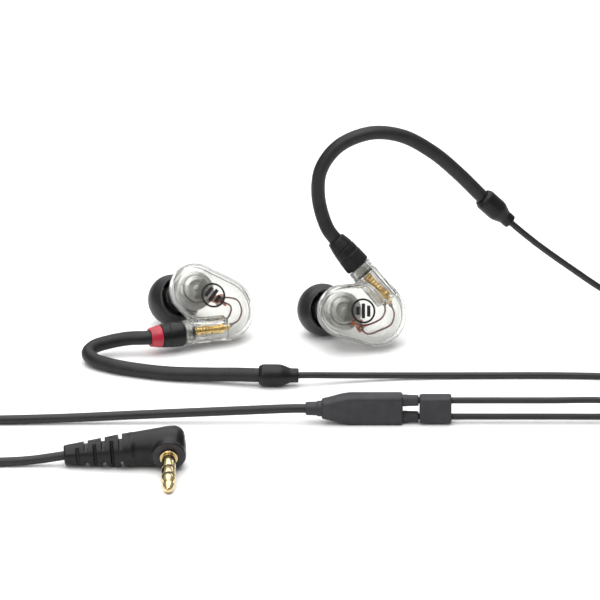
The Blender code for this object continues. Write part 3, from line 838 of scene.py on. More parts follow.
def rod_field(points: np.ndarray, place: Matrix, low: float, high: float,
              radius: Callable[[np.ndarray], np.ndarray], rounding: float) -> np.ndarray:
    """Field of a round bar along the Z axis of a frame.

    Args:
        points: Rows of x, y, z.
        place: The bar's frame.
        low: Start of the bar along Z.
        high: End of the bar along Z.
        radius: Its radius at each distance along Z.
        rounding: Radius of its end edges.

    Returns:
        Values below zero inside the bar.
    """
    back = np.array(place.inverted())
    local = points @ back[:3, :3].T + back[:3, 3]
    side = np.hypot(local[:, 0], local[:, 1]) - radius(local[:, 2]) + rounding
    end = np.maximum(low - local[:, 2], local[:, 2] - high) + rounding
    outer = np.hypot(np.maximum(side, 0.0), np.maximum(end, 0.0))
    return outer + np.minimum(np.maximum(side, end), 0.0) - rounding


def slope(shape: Field, points: np.ndarray, step: float) -> np.ndarray:
    """Gradient of a field by central differences.

    Args:
        shape: The field.
        points: Rows of x, y, z.
        step: Distance to each side at which the field is read.

    Returns:
        The gradient at each point.
    """
    rows = []
    for k in range(3):
        shift = np.zeros(3)
        shift[k] = step
        rows.append((shape(points + shift) - shape(points - shift)) / (2 * step))
    return np.stack(rows, axis=1)


def skin_of(name: str, shape: Field, low: Point, high: Point, cell: float) -> bpy.types.Object:
    """Closed smooth surface on which a field is zero.

    Args:
        name: The object's name.
        shape: The field, below zero inside.
        low: Lowest corner of the space to search.
        high: Its highest corner.
        cell: Size of the surface's faces.

    Returns:
        The surface as an object with no material.
    """
    axes = [np.arange(a, b + cell, cell) for a, b in zip(low, high)]
    grid = np.stack(np.meshgrid(*axes, indexing="ij"), axis=-1)
    inside = shape(grid.reshape(-1, 3)).reshape(grid.shape[:3]) < 0.0
    near = [slice(None, -1), slice(1, None)]
    corners = sum(inside[near[i], near[j], near[k]].astype(int)
                  for i in (0, 1) for j in (0, 1) for k in (0, 1))
    mixed = (corners > 0) & (corners < 8)
    number = np.full(mixed.shape, -1)
    number[mixed] = np.arange(mixed.sum())
    points = np.array(low) + (np.argwhere(mixed) + 0.5) * cell
    quads = []
    for axis in range(3):
        moved = np.moveaxis(inside, axis, 0)
        cells = np.moveaxis(number, axis, 0)
        crossing = np.argwhere(moved[:-1, 1:-1, 1:-1] != moved[1:, 1:-1, 1:-1])
        i, j, k = crossing.T
        quads.append(np.stack([cells[i, j, k], cells[i, j + 1, k], cells[i, j + 1, k + 1],
                               cells[i, j, k + 1]], axis=1))
    faces = np.concatenate(quads)
    edges = np.concatenate([faces[:, [0, 1]], faces[:, [1, 2]], faces[:, [2, 3]],
                            faces[:, [3, 0]]])
    degree = np.bincount(edges.ravel(), minlength=len(points))[:, None]
    for _ in range(ROUNDS):
        for _ in range(PULLS):
            way = slope(shape, points, cell * 0.1)
            size = np.maximum((way * way).sum(axis=1), 1e-9)
            move = way * (shape(points) / size)[:, None]
            far = np.maximum(np.linalg.norm(move, axis=1) / cell, 1.0)
            points = points - move / far[:, None]
        total = np.zeros_like(points)
        np.add.at(total, edges[:, 0], points[edges[:, 1]])
        np.add.at(total, edges[:, 1], points[edges[:, 0]])
        relaxed = points * 0.5 + total / degree * 0.5
        way = slope(shape, points, cell * 0.1)
        way /= np.maximum(np.linalg.norm(way, axis=1), 1e-9)[:, None]
        drift = relaxed - points
        points = points + drift - (drift * way).sum(axis=1)[:, None] * way
    return solid(name, points, faces.tolist())


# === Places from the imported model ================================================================
@dataclass(frozen=True)
class Ear:
    """Frame of one earpiece: origin in the socket's mouth, X out of it, Z out of the face."""

    side: Side
    mouth: Vector
    socket: Vector
    nozzle: Vector

    @classmethod
    def from_record(cls, side: Side, joints: Sequence[dict[str, Any]]) -> Ear:
        """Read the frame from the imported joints.

        Args:
            side: The channel.
            joints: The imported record's joints.

        Returns:
            The earpiece's frame.
        """
        found = {joint["name"]: joint for joint in joints}
        swivel = found[f"{side.label}_earpiece_swivel"]
        tip = found[f"{side.label}_ear_tip_pull_off"]
        return cls(side, Vector(swivel["pos_m"]), Vector(swivel["axis"]).normalized(),
                   Vector(tip["axis"]).normalized())

    @property
    def frame(self) -> Matrix:
        """The earpiece's axes as a matrix.

        Returns:
            The matrix from the earpiece's axes to the model's.
        """
        lean = math.asin(self.nozzle.dot(self.socket))
        face = ((self.socket * math.sin(lean) - self.nozzle) / math.cos(lean)).normalized()
        turn = Matrix((self.socket, face.cross(self.socket), face)).transposed().to_4x4()
        return Matrix.Translation(self.mouth) @ turn

    @property
    def axle(self) -> Matrix:
        """Frame of the pieces that are turned about the connector's axis."""
        return self.frame @ Matrix.Rotation(QUARTER, 4, "Y")

    def spot(self, x: float, y: float, z: float) -> Vector:
        """Place of a point that is given in millimetres for the unmirrored side."""
        return self.frame @ (Vector((x, self.side.value * y, z)) * MM)

    def name(self, piece: str) -> str:
        """Name of one of the side's pieces or nodes."""
        return f"{self.side.label}_{piece}"

    def body(self, part: str = "earpiece") -> str:
        """Name of one of the side's bodies."""
        return f"{self.side.label}_{part}"


@dataclass
class Workshop:
    """Finishes by name, and the calls that every piece needs."""

    finishes: dict[str, bpy.types.Material] = field(default_factory=dict)
    count: int = 0

    def settle(self, piece: bpy.types.Object, body: str, finish: str,
               *nodes: str) -> bpy.types.Object:
        """Give a piece its finish, its body and the nodes it stands for.

        Args:
            piece: The finished piece.
            body: The body that it rides on.
            finish: Its finish, put in the piece's material slot.
            nodes: The CAD nodes that it replaces.

        Returns:
            The same piece.
        """
        piece.data.materials.clear()
        piece.data.materials.append(self.finishes[finish])
        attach(piece, body)
        if nodes:
            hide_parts(*nodes)
        self.count += 1
        LOG.info("%s rides on %s", piece.name, body)
        return piece


# === Cable =======================================================================================
@dataclass(frozen=True)
class Winding:
    """Turns of a coil in the order in which they are wound, in millimetres and degrees."""

    middle: tuple[float, float]
    slots: tuple[tuple[float, float], ...]
    start: float
    sweep: float
    way: int
    steps: int = 28
    change_at: float = 0.87
    change_earlier: float = 0.25
    change_over: float = 0.13

    def points(self) -> list[Vector]:
        """Points of the turns.

        Returns:
            Points from the first turn to the last, in metres.
        """
        turns = math.floor(self.sweep)
        result = []
        for step in range(round(self.sweep * self.steps) + 1):
            run = step / self.steps
            turn = min(int(run), turns)
            change = self.change_at - self.change_earlier * turn / turns
            share = min(1.0, max(0.0, (run - turn - change) / self.change_over))
            share = share * share * (3 - 2 * share)
            here, after = self.slots[turn], self.slots[min(turn + 1, len(self.slots) - 1)]
            radius = here[0] + (after[0] - here[0]) * share
            height = here[1] + (after[1] - here[1]) * share
            angle = math.radians(self.start) + self.way * math.tau * run
            result.append(Vector((self.middle[0] + radius * math.cos(angle),
                                  self.middle[1] + radius * math.sin(angle), height)) * MM)
        return result


@dataclass(frozen=True)
class Boot:
    """Moulded boot where an ear hook becomes the thin cable, from a route's end towards a point."""

    start: Point
    aim: Point
    length: float = 9.8 * MM
    hole: float = 0.9 * MM

    @property
    def forward(self) -> Vector:
        """Direction in which the cable leaves."""
        return (Vector(self.aim) - Vector(self.start)).normalized()

    @property
    def exit(self) -> Vector:
        """Where the cable leaves the boot's hole."""
        return Vector(self.start) * MM + self.forward * (self.length - self.hole)


@dataclass(frozen=True)
class CordPlan:
    """Route of one cable in millimetres: into its coil, round it and on to its end."""

    name: str
    diameter: float
    length: float
    before: tuple[Point, ...]
    winding: Winding
    after: tuple[Point, ...]

    def route(self, start: Vector, end: Vector) -> list[Vector]:
        """Even points of the whole cable.

        Args:
            start: Where it leaves the object.
            end: Where it ends.

        Returns:
            Points about half a diameter apart.
        """
        points = [start, *(Vector(p) * MM for p in self.before), *self.winding.points(),
                  *(Vector(p) * MM for p in self.after), end]
        route = smooth_route(points, self.diameter * 0.45)
        return [Vector((p.x, p.y, max(p.z, self.diameter / 2))) for p in route]


HOOK_D, BRANCH_D, MAIN_D = 3.5 * MM, 1.6 * MM, 2.25 * MM
BOOTS = {Side.RIGHT: Boot((-25.4, 23.5, 2.78), (-15.6, 23.3, 2.78)),
         Side.LEFT: Boot((30.1, 67.8, 32.2), (37.3, 68.3, 25.1))}
HOOK_ROUTES: dict[Side, tuple[Point, ...]] = {
    Side.RIGHT: ((-57.8, 43.6, 4.2), (-62.6, 42.8, 3.6), (-66.3, 40.9, 3.1), (-67.7, 38.1, 2.5),
                 (-66.4, 35.2, 2.1), (-62.4, 32.2, 1.9), (-57.6, 30.0, 1.8), (-48.2, 27.1, 1.8),
                 (-38.0, 25.6, 2.1), (-31.0, 24.3, 2.6)),
    Side.LEFT: ((-8.6, 54.4, 29.6), (-10.7, 55.0, 37.6), (-10.0, 55.8, 44.6), (-5.6, 57.2, 50.2),
                (2.2, 59.2, 52.8), (10.0, 61.3, 51.2), (17.6, 63.6, 46.0), (24.0, 65.9, 39.4))}
BRANCH_SLOTS = ((10.05, 0.84), (8.38, 0.84), (9.25, 2.3))
BRANCH_PLANS = {
    Side.RIGHT: CordPlan(
        "right_branch_cable", BRANCH_D, 0.32,
        ((-14.0, 23.5, 2.75), (-6.0, 25.2, 2.0), (10.0, 27.3, 1.1), (30.0, 28.0, 0.83),
         (50.0, 28.0, 0.83), (62.0, 27.2, 0.83), (71.5, 25.2, 0.83)),
        Winding((79.5, 14.5), BRANCH_SLOTS, 90.0, 2.5, -1),
        ((76.0, 4.7, 2.55), (71.6, 3.5, 1.7), (66.0, 1.3, 1.1), (60.0, 0.05, 1.55),
         (46.0, 0.0, 1.6), (34.0, 0.0, 1.6), (20.0, 0.0, 1.6))),
    Side.LEFT: CordPlan(
        "left_branch_cable", BRANCH_D, 0.32,
        ((38.2, 68.4, 24.2), (44.0, 69.6, 18.7), (52.5, 71.6, 11.4), (59.8, 74.4, 5.0),
         (63.8, 76.2, 2.0)),
        Winding((75.5, 71.5), BRANCH_SLOTS, 146.0, 2.0 + 156.0 / 360.0, -1),
        ((85.5, 67.6, 2.6), (87.2, 64.5, 1.7), (89.2, 60.0, 0.9), (92.5, 46.0, 0.86),
         (94.5, 30.0, 0.86), (94.0, 14.0, 0.86), (90.0, 2.0, 0.9), (82.0, -3.4, 1.2),
         (73.0, -2.6, 2.9), (65.5, -0.6, 5.3), (59.8, 0.0, 5.9), (46.0, 0.0, 5.9),
         (34.0, 0.0, 5.9), (20.0, 0.0, 5.9)))}
MAIN_SLOTS = ((16.6, 1.16), (14.25, 1.16), (11.9, 1.16), (11.9, 3.45), (11.9, 5.74),
              (14.25, 5.74), (14.25, 3.45), (16.6, 3.45), (16.6, 5.74))
MAIN_PLAN = CordPlan(
    "main_cable", MAIN_D, 0.9,
    ((-17.0, 0.0, 3.75), (-27.8, 0.0, 3.3), (-40.0, -0.1, 2.8), (-55.0, -0.3, 2.2),
     (-72.0, -0.6, 1.5), (-90.0, -1.0, 1.15), (-98.0, -0.9, 1.15), (-104.5, 1.2, 1.15)),
    Winding((-115.5, -12.0), MAIN_SLOTS, 70.0, 8.0 + 200.0 / 360.0, 1),
    ((-110.0, -28.9, 5.55), (-104.0, -28.6, 3.4), (-98.0, -28.0, 1.4), (-91.0, -27.5, 1.15),
     (-85.0, -27.3, 1.25), (-80.0, -27.1, 1.6)))
# Heights of the branch cables beside the splitter, in millimetres.
BRANCH_HEIGHTS = {Side.RIGHT: 1.6, Side.LEFT: 5.9}
SPLITTER_EXITS = {side: Vector((13.2, 0.0, height)) * MM for side, height in BRANCH_HEIGHTS.items()}
MAIN_EXIT = Vector((-13.2, 0.0, 3.75)) * MM


def make_cords(shop: Workshop, plug: Plug, plug_pieces: Sequence[bpy.types.Object]) -> None:
    """Args:
        shop: The workshop.
        plug: The plug's sizes.
        plug_pieces: The pieces on the main cable's end; not used.
    """
    for side, plan in BRANCH_PLANS.items():
        points = plan.route(BOOTS[side].exit, SPLITTER_EXITS[side])
        cable = tube(plan.name, points, plan.diameter)
        prefix = f"{side.label}_branch"
        shop.settle(cable, Body.CABLE.value, "cable_sheath", f"{prefix}_lead", f"{prefix}_coil",
                    f"{prefix}_return")
        LOG.info("%s is %.3f m long", plan.name, run_length(points))
    points = MAIN_PLAN.route(MAIN_EXIT, plug.cable_end)
    cable = tube(MAIN_PLAN.name, points, MAIN_PLAN.diameter)
    shop.settle(cable, Body.CABLE.value, "cable_sheath", "main_lead", "main_coil", "plug_lead")
    LOG.info("%s is %.3f m long", MAIN_PLAN.name, run_length(points))


# === Plug ========================================================================================
@dataclass(frozen=True)
class Plug:
    """Angled three-pole plug along a line of three points in millimetres.

    It has a slotted strain relief, a smooth elbow, a round face and a stacked jack.
    """

    tail: Point = (-72.8, -27.0, 2.75)
    waist: Point = (-58.0, -27.0, 4.15)
    head: Point = (-47.25, -27.0, 5.15)
    tail_radius: float = 2.45 * MM
    waist_radius: float = 4.1 * MM
    head_radius: float = 5.08 * MM
    slimness: float = 0.86
    lean: float = math.radians(12.5)
    face: float = 4.4 * MM
    face_radius: float = 4.15 * MM
    slots: int = 6
    first_slot: float = 3.4 * MM
    slot_pitch: float = 2.12 * MM
    slot_width: float = 0.95 * MM
    core: float = 1.55 * MM
    space: tuple[Point, Point] = ((-0.0745, -0.0330, -0.0006), (-0.0405, -0.0210, 0.0115))
    cell: float = 0.26 * MM

    @property
    def cable_end(self) -> Vector:
        """Where the cable ends inside the strain relief."""
        tail, waist = Vector(self.tail) * MM, Vector(self.waist) * MM
        return tail + (waist - tail).normalized() * 0.9 * MM

    @property
    def pin_frame(self) -> Matrix:
        """Frame of the jack, with Z out along its pin."""
        way = (0.0, -math.cos(self.lean), -math.sin(self.lean))
        return along(Vector(self.head) * MM, way)

    def overmould(self) -> bpy.types.Object:
        """Moulded body with its six pairs of slots.

        Returns:
            The body as one piece.
        """
        tail, waist, head = (Vector(p) * MM for p in (self.tail, self.waist, self.head))
        relief = along(tail, waist - tail)
        long = (waist - tail).length
        elbow = along(waist, head - waist) @ Matrix.Diagonal((self.slimness, 1.0, 1.0, 1.0))
        reach = (head - waist).length

        def relief_radius(z: np.ndarray) -> np.ndarray:
            """Radius of the strain relief."""
            return np.interp(z, [0.0, long], [self.tail_radius, self.waist_radius])

        def elbow_radius(z: np.ndarray) -> np.ndarray:
            """Radius of the elbow."""
            return np.interp(z, [0.0, reach], [self.waist_radius, self.head_radius])

        def face_radius(z: np.ndarray) -> np.ndarray:
            """Radius of the disc round the jack."""
            return np.full_like(z, self.face_radius)

        def shape(points: np.ndarray) -> np.ndarray:
            """Field of the whole body.

            Args:
                points: Rows of x, y, z.

            Returns:
                Values below zero inside.
            """
            cone = rod_field(points, relief, 0.0, long + 2.0 * MM, relief_radius, 0.35 * MM)
            knee = rod_field(points, elbow, 0.2 * MM, reach + 4.1 * MM, elbow_radius, 2.7 * MM)
            disc = rod_field(points, self.pin_frame, -1.0 * MM, self.face, face_radius, 0.3 * MM)
            return blend_min(blend_min(cone, knee, 1.0 * MM), disc, 0.5 * MM)

        body = skin_of("plug_overmould_skin", shape, *self.space, self.cell)
        deep, wide = 6 * MM, 12 * MM
        changes: list[tuple[str, bpy.types.Object]] = []
        for number in range(self.slots):
            spot = self.first_slot + self.slot_pitch * number
            for way in (-1, 1):
                offset = way * (self.core + deep / 2)
                across = number % 2 == 0
                size = (deep, wide, self.slot_width) if across else (wide, deep, self.slot_width)
                centre = (offset, 0.0, spot) if across else (0.0, offset, spot)
                tool = block(f"slot_{number}_{way + 1}", size,
                             relief @ Matrix.Translation(centre), rounding=0.22 * MM)
                changes.append(("DIFFERENCE", tool))
        hole = round_cut("cable_hole", MAIN_D / 2 + 0.12 * MM, -1 * MM, 1.2 * MM, relief)
        return carve(body, *changes, ("DIFFERENCE", hole))

    def jack(self, shop: Workshop) -> list[bpy.types.Object]:
        """Stack of gold poles and black insulators on the pin.

        Args:
            shop: The workshop.

        Returns:
            The six pieces.
        """
        seat = self.face + 0.15 * MM
        stack: dict[str, Profile] = {
            "jack_collar": [(2.2, 0.0), (2.2, 0.7)],
            "jack_sleeve": [(1.75, 0.85), (1.75, 5.35)],
            "jack_rear_insulator": [(1.7, 5.4), (1.7, 5.9)],
            "jack_ring": [(1.75, 5.95), (1.75, 8.3)],
            "jack_front_insulator": [(1.7, 8.35), (1.7, 8.85)],
            "jack_tip": [(1.72, 8.9), (1.74, 9.6), (1.72, 10.1), (1.45, 10.5), (1.25, 10.9),
                         (1.28, 11.2), (1.45, 11.7), (1.52, 12.1), (1.42, 12.7), (1.15, 13.4),
                         (0.8, 14.0), (0.35, 14.3)]}
        made = []
        for name, outer in stack.items():
            line = [(0.0, outer[0][1]), *outer, (0.0, outer[-1][1])]
            piece = lathe(f"{name}_turned", softened(in_metres(line, seat), 0.18 * MM),
                          self.pin_frame, steps=48)
            finish = "black_insulator" if "insulator" in name else "jack_gold"
            made.append(shop.settle(piece, Body.CABLE.value, finish, name))
        return made

    def build(self, shop: Workshop) -> list[bpy.types.Object]:
        """Make the whole plug.

        Args:
            shop: The workshop.

        Returns:
            Its pieces.
        """
        body = shop.settle(self.overmould(), Body.CABLE.value, "moulded_black", "plug_overmould")
        rim, hole = self.face_radius - 0.25 * MM, 2.25 * MM
        top = self.face + 0.1 * MM
        low = top - 0.4 * MM
        face = lathe("plug_face", softened([(hole, low), (rim, low), (rim, top), (hole, top)],
                                           0.05 * MM, True), self.pin_frame, True, 64)
        shop.settle(face, Body.CABLE.value, "plug_face")
        return [body, face, *self.jack(shop)]


# === Splitter and chin slider ====================================================================
def rounded_outline(half_width: float, half_height: float, corner: float) -> Profile:
    """Rectangle with round corners.

    Args:
        half_width: Half its first side.
        half_height: Half its second side.
        corner: Radius of its corners.

    Returns:
        Its points in order.
    """
    points, steps = [], 6
    for quarter, (sx, sy) in enumerate(((1, 1), (-1, 1), (-1, -1), (1, -1))):
        for step in range(steps + 1):
            angle = QUARTER * (quarter + step / steps)
            points.append((sx * (half_width - corner) + corner * math.cos(angle),
                           sy * (half_height - corner) + corner * math.sin(angle)))
    return points


def loft(name: str, stations: Sequence[tuple[float, float, float, float]],
         place: Matrix) -> bpy.types.Object:
    """Solid through rounded rectangles along the local X axis.

    Args:
        name: The piece's name.
        stations: (x, half width across Y, half height along Z, corner radius) in order.
        place: The solid's frame.

    Returns:
        The closed solid.
    """
    points = [place @ Vector((x, y, z)) for x, *sizes in stations
              for y, z in rounded_outline(*sizes)]
    return solid(name, points, stacked_faces(len(points) // len(stations), len(stations)))


@dataclass(frozen=True)
class Splitter:
    """Flat moulding on its edge where the main cable becomes two."""

    length: float = 20.0 * MM
    height: float = 7.5 * MM
    thickness: float = 4.6 * MM
    nose: float = 2.2 * MM
    corner: float = 0.95 * MM
    edge: float = 0.55 * MM
    swell_share: float = 0.38
    swell_power: float = 1.6

    def half_height(self, share: float) -> float:
        """Half height along the length: a nose that swells to the full height."""
        swell = math.sin(QUARTER * min(1.0, share / self.swell_share)) ** self.swell_power
        return self.nose + (self.height / 2 - self.nose) * swell

    def inset(self, share: float) -> float:
        """How far the rounded ends draw the sides in, at a share of the length."""
        rim = max(0.0, self.edge - min(share, 1.0 - share) * self.length)
        return self.edge - math.sqrt(max(0.0, self.edge ** 2 - rim ** 2)) if rim else 0.0

    def build(self, shop: Workshop) -> None:
        """Make the body with its three stubs.

        Args:
            shop: The workshop.
        """
        marks = [0.0, 0.006, 0.014, 0.028] + [0.04 + 0.036 * k for k in range(12)]
        marks += [0.6, 0.8, 0.95, 0.972, 0.986, 0.994, 1.0]
        stations = []
        for share in marks:
            inset = self.inset(share)
            half = self.half_height(share) - inset
            wide = self.thickness / 2 - inset
            stations.append(((share - 0.5) * self.length, wide, half, min(self.corner, wide * 0.6)))
        middle = self.height / 2
        body = loft("splitter_moulding", stations, Matrix.Translation((0.0, 0.0, middle)))
        stubs = [(-1, middle, MAIN_D, 1.95, 1.65)]
        stubs += [(1, z * MM, BRANCH_D, 1.5, 1.35) for z in BRANCH_HEIGHTS.values()]
        for number, (way, height, cord, root, tip) in enumerate(stubs):
            axle = Matrix.Translation((way * self.length / 2, 0.0, height)) @ Matrix.Rotation(
                QUARTER * way, 4, "Y")
            profile: Profile = [(0, -1.5), (root, -1.5), (root, 0.9), (tip + 0.08, 1.15),
                                (tip + 0.02, 3.5), (tip - 0.1, 3.9), (0, 3.9)]
            stub = lathe(f"stub_{number}", softened(in_metres(profile), 0.12 * MM), axle, steps=36)
            hole = round_cut(f"stub_hole_{number}", cord / 2 + 0.1 * MM, 2.7 * MM, 5 * MM, axle, 36)
            carve(body, ("UNION", stub), ("DIFFERENCE", hole))
        shop.settle(body, Body.CABLE.value, "matt_black", "splitter_body")


@dataclass(frozen=True)
class ChinSlider:
    """Small block with two holes that runs along the branch cables."""

    edge: float = 0.5 * MM
    corner: float = 0.9 * MM
    play: float = 0.2 * MM

    def build(self, shop: Workshop) -> None:
        """Make the slider in its node's box.

        Args:
            shop: The workshop.
        """
        low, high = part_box("chin_slider")
        middle, half = (low + high) / 2, (high - low) / 2
        stations = []
        for share in (0.0, 0.25, 0.5, 0.75, 1.0):
            angle = QUARTER * share
            inset = self.edge * (1 - math.sin(angle))
            stations.append((-half.x + self.edge * (1 - math.cos(angle)), half.y - inset,
                             half.z - inset, self.corner - inset * 0.5))
        stations += [(-x, y, z, c) for x, y, z, c in reversed(stations)]
        body = loft("chin_slider_moulding", stations, Matrix.Translation(middle))
        for z in BRANCH_HEIGHTS.values():
            axle = Matrix.Translation((middle.x, 0.0, z * MM)) @ Matrix.Rotation(QUARTER, 4, "Y")
            hole = round_cut("slider_hole", BRANCH_D / 2 + self.play, -6 * MM, 6 * MM, axle, 32)
            carve(body, ("DIFFERENCE", hole))
        shop.settle(body, Body.SLIDER.value, "matt_black", "chin_slider")


# === Ear hook and connector ======================================================================
@dataclass(frozen=True)
class EarPart:
    """Sub-assembly that stands in one earpiece's frame."""

    ear: Ear
    turns: ClassVar[int] = 48

    @property
    def body(self) -> str:
        """Name of the body that its pieces ride on."""
        return self.ear.body()

    def turned(self, shop: Workshop, piece: str, profile: Profile, finish: str, *nodes: str,
               rounding: float = 0.1, closed: bool = False,
               place: Matrix | None = None) -> bpy.types.Object:
        """Turn one piece about the connector's axis, or about its frame's Z axis.

        Args:
            shop: The workshop.
            piece: The piece's name without its side.
            profile: (distance from the axis, height) points in millimetres.
            finish: Its finish.
            nodes: CAD nodes that it stands for, without their side.
            rounding: Radius of its corners in millimetres.
            closed: True for a ring.
            place: Its frame, if not the connector's.

        Returns:
            The piece.
        """
        made = lathe(self.ear.name(piece), in_metres(softened(profile, rounding, closed)),
                     place or self.ear.axle, closed, self.turns)
        return shop.settle(made, self.body, finish, *(self.ear.name(node) for node in nodes))


@dataclass(frozen=True)
class EarHook(EarPart):
    """Formed sheath over the ear with its boot, overmoulded sleeve and marker ring.

    The ring's start and end are in millimetres from the socket's mouth.
    """

    turns: ClassVar[int] = 56
    ring: tuple[float, float] = (6.1, 8.95)

    @property
    def body(self) -> str:
        """Name of the body that its pieces ride on."""
        return Body.CABLE.value

    def build(self, shop: Workshop) -> None:
        """Make the cable's end from the plug in the socket to the boot.

        Args:
            shop: The workshop.
        """
        marker = "red_marker" if self.ear.side is Side.RIGHT else "moulded_black"
        self.turned(shop, "sleeve_moulding",
                    [(0, 6.0), (2.84, 6.0), (2.9, 5.8), (3.04, 4.2), (2.96, 4.1), (2.96, 3.9),
                     (3.1, 3.8), (3.25, 0.75), (3.2, 0.3), (2.2, 0.3), (2.2, -0.15),
                     (2.05, -0.3), (0, -0.3)],
                    "moulded_black", "connector_sleeve", rounding=0.15)
        self.turned(shop, "nose_core", [(0, -0.35), (1.2, -0.35), (1.2, -2.55), (0, -2.55)],
                    "white_insulator", rounding=0.08)
        self.turned(shop, "nose_rings",
                    [(1.25, -0.4), (2.15, -0.4), (2.15, -0.7), (1.8, -0.8), (1.8, -1.1),
                     (2.15, -1.2), (2.15, -1.5), (1.8, -1.6), (1.8, -1.95), (1.25, -1.95)],
                    "clear_polycarbonate", rounding=0.08, closed=True)
        self.turned(shop, "nose_seal", [(1.25, -2.0), (2.2, -2.0), (2.2, -2.5), (1.25, -2.5)],
                    "moulded_black", rounding=0.12, closed=True)
        ring_start, ring_end = self.ring
        self.turned(shop, "ring_marker",
                    [(2.2, ring_end), (2.32, ring_end - 0.15), (2.82, ring_start + 0.3),
                     (2.78, ring_start), (1.85, ring_start), (1.85, ring_end)],
                    marker, "connector_ring", rounding=0.09, closed=True)
        self.turned(shop, "plug_barrel_turned",
                    [(0.9, -2.6), (0.9, -3.3), (0.82, -3.4), (0.82, -3.6), (0.9, -3.7),
                     (0.9, -4.6), (0.72, -4.7), (0.72, -5.3), (0.9, -5.4), (0.86, -6.6),
                     (0.8, -7.4), (0.72, -7.6), (0.56, -7.6), (0.56, -2.6)],
                    "contact_gold", "plug_barrel", rounding=0.06, closed=True)
        self.turned(shop, "plug_pin_turned",
                    [(0, -2.7), (0.27, -2.7), (0.27, -8.2), (0.2, -8.5), (0, -8.6)],
                    "contact_gold", "plug_pin", rounding=0.05)
        self.turned(shop, "plug_insulator_turned",
                    [(0.52, -2.7), (0.52, -7.4), (0.34, -7.4), (0.34, -2.7)],
                    "white_insulator", "plug_insulator", rounding=0.05, closed=True)

        boot = BOOTS[self.ear.side]
        axis = self.ear.socket
        start = Vector(boot.start) * MM
        points = [self.ear.mouth + axis * 6.3 * MM, self.ear.mouth + axis * ring_end * MM,
                  *(Vector(p) * MM for p in HOOK_ROUTES[self.ear.side]), start,
                  start + boot.forward * 1.2 * MM]
        sheath = tube(self.ear.name("hook_sheath"), smooth_route(points, 0.8 * MM), HOOK_D)
        shop.settle(sheath, self.body, "hook_sheath", self.ear.name("ear_hook"))
        self.turned(shop, "boot_moulding",
                    [(0, 1.5), (1.88, 1.5), (1.88, 0.0), (2.25, 0.0), (2.7, 0.85), (2.74, 1.4),
                     (2.74, 4.9), (2.66, 5.6), (2.2, 6.8), (1.8, 7.8), (1.78, 9.6), (1.65, 9.8),
                     (0.92, 9.8), (0.92, 8.6), (0, 8.6)],
                    "moulded_black", "hook_boot", rounding=0.35,
                    place=along(start, boot.forward))


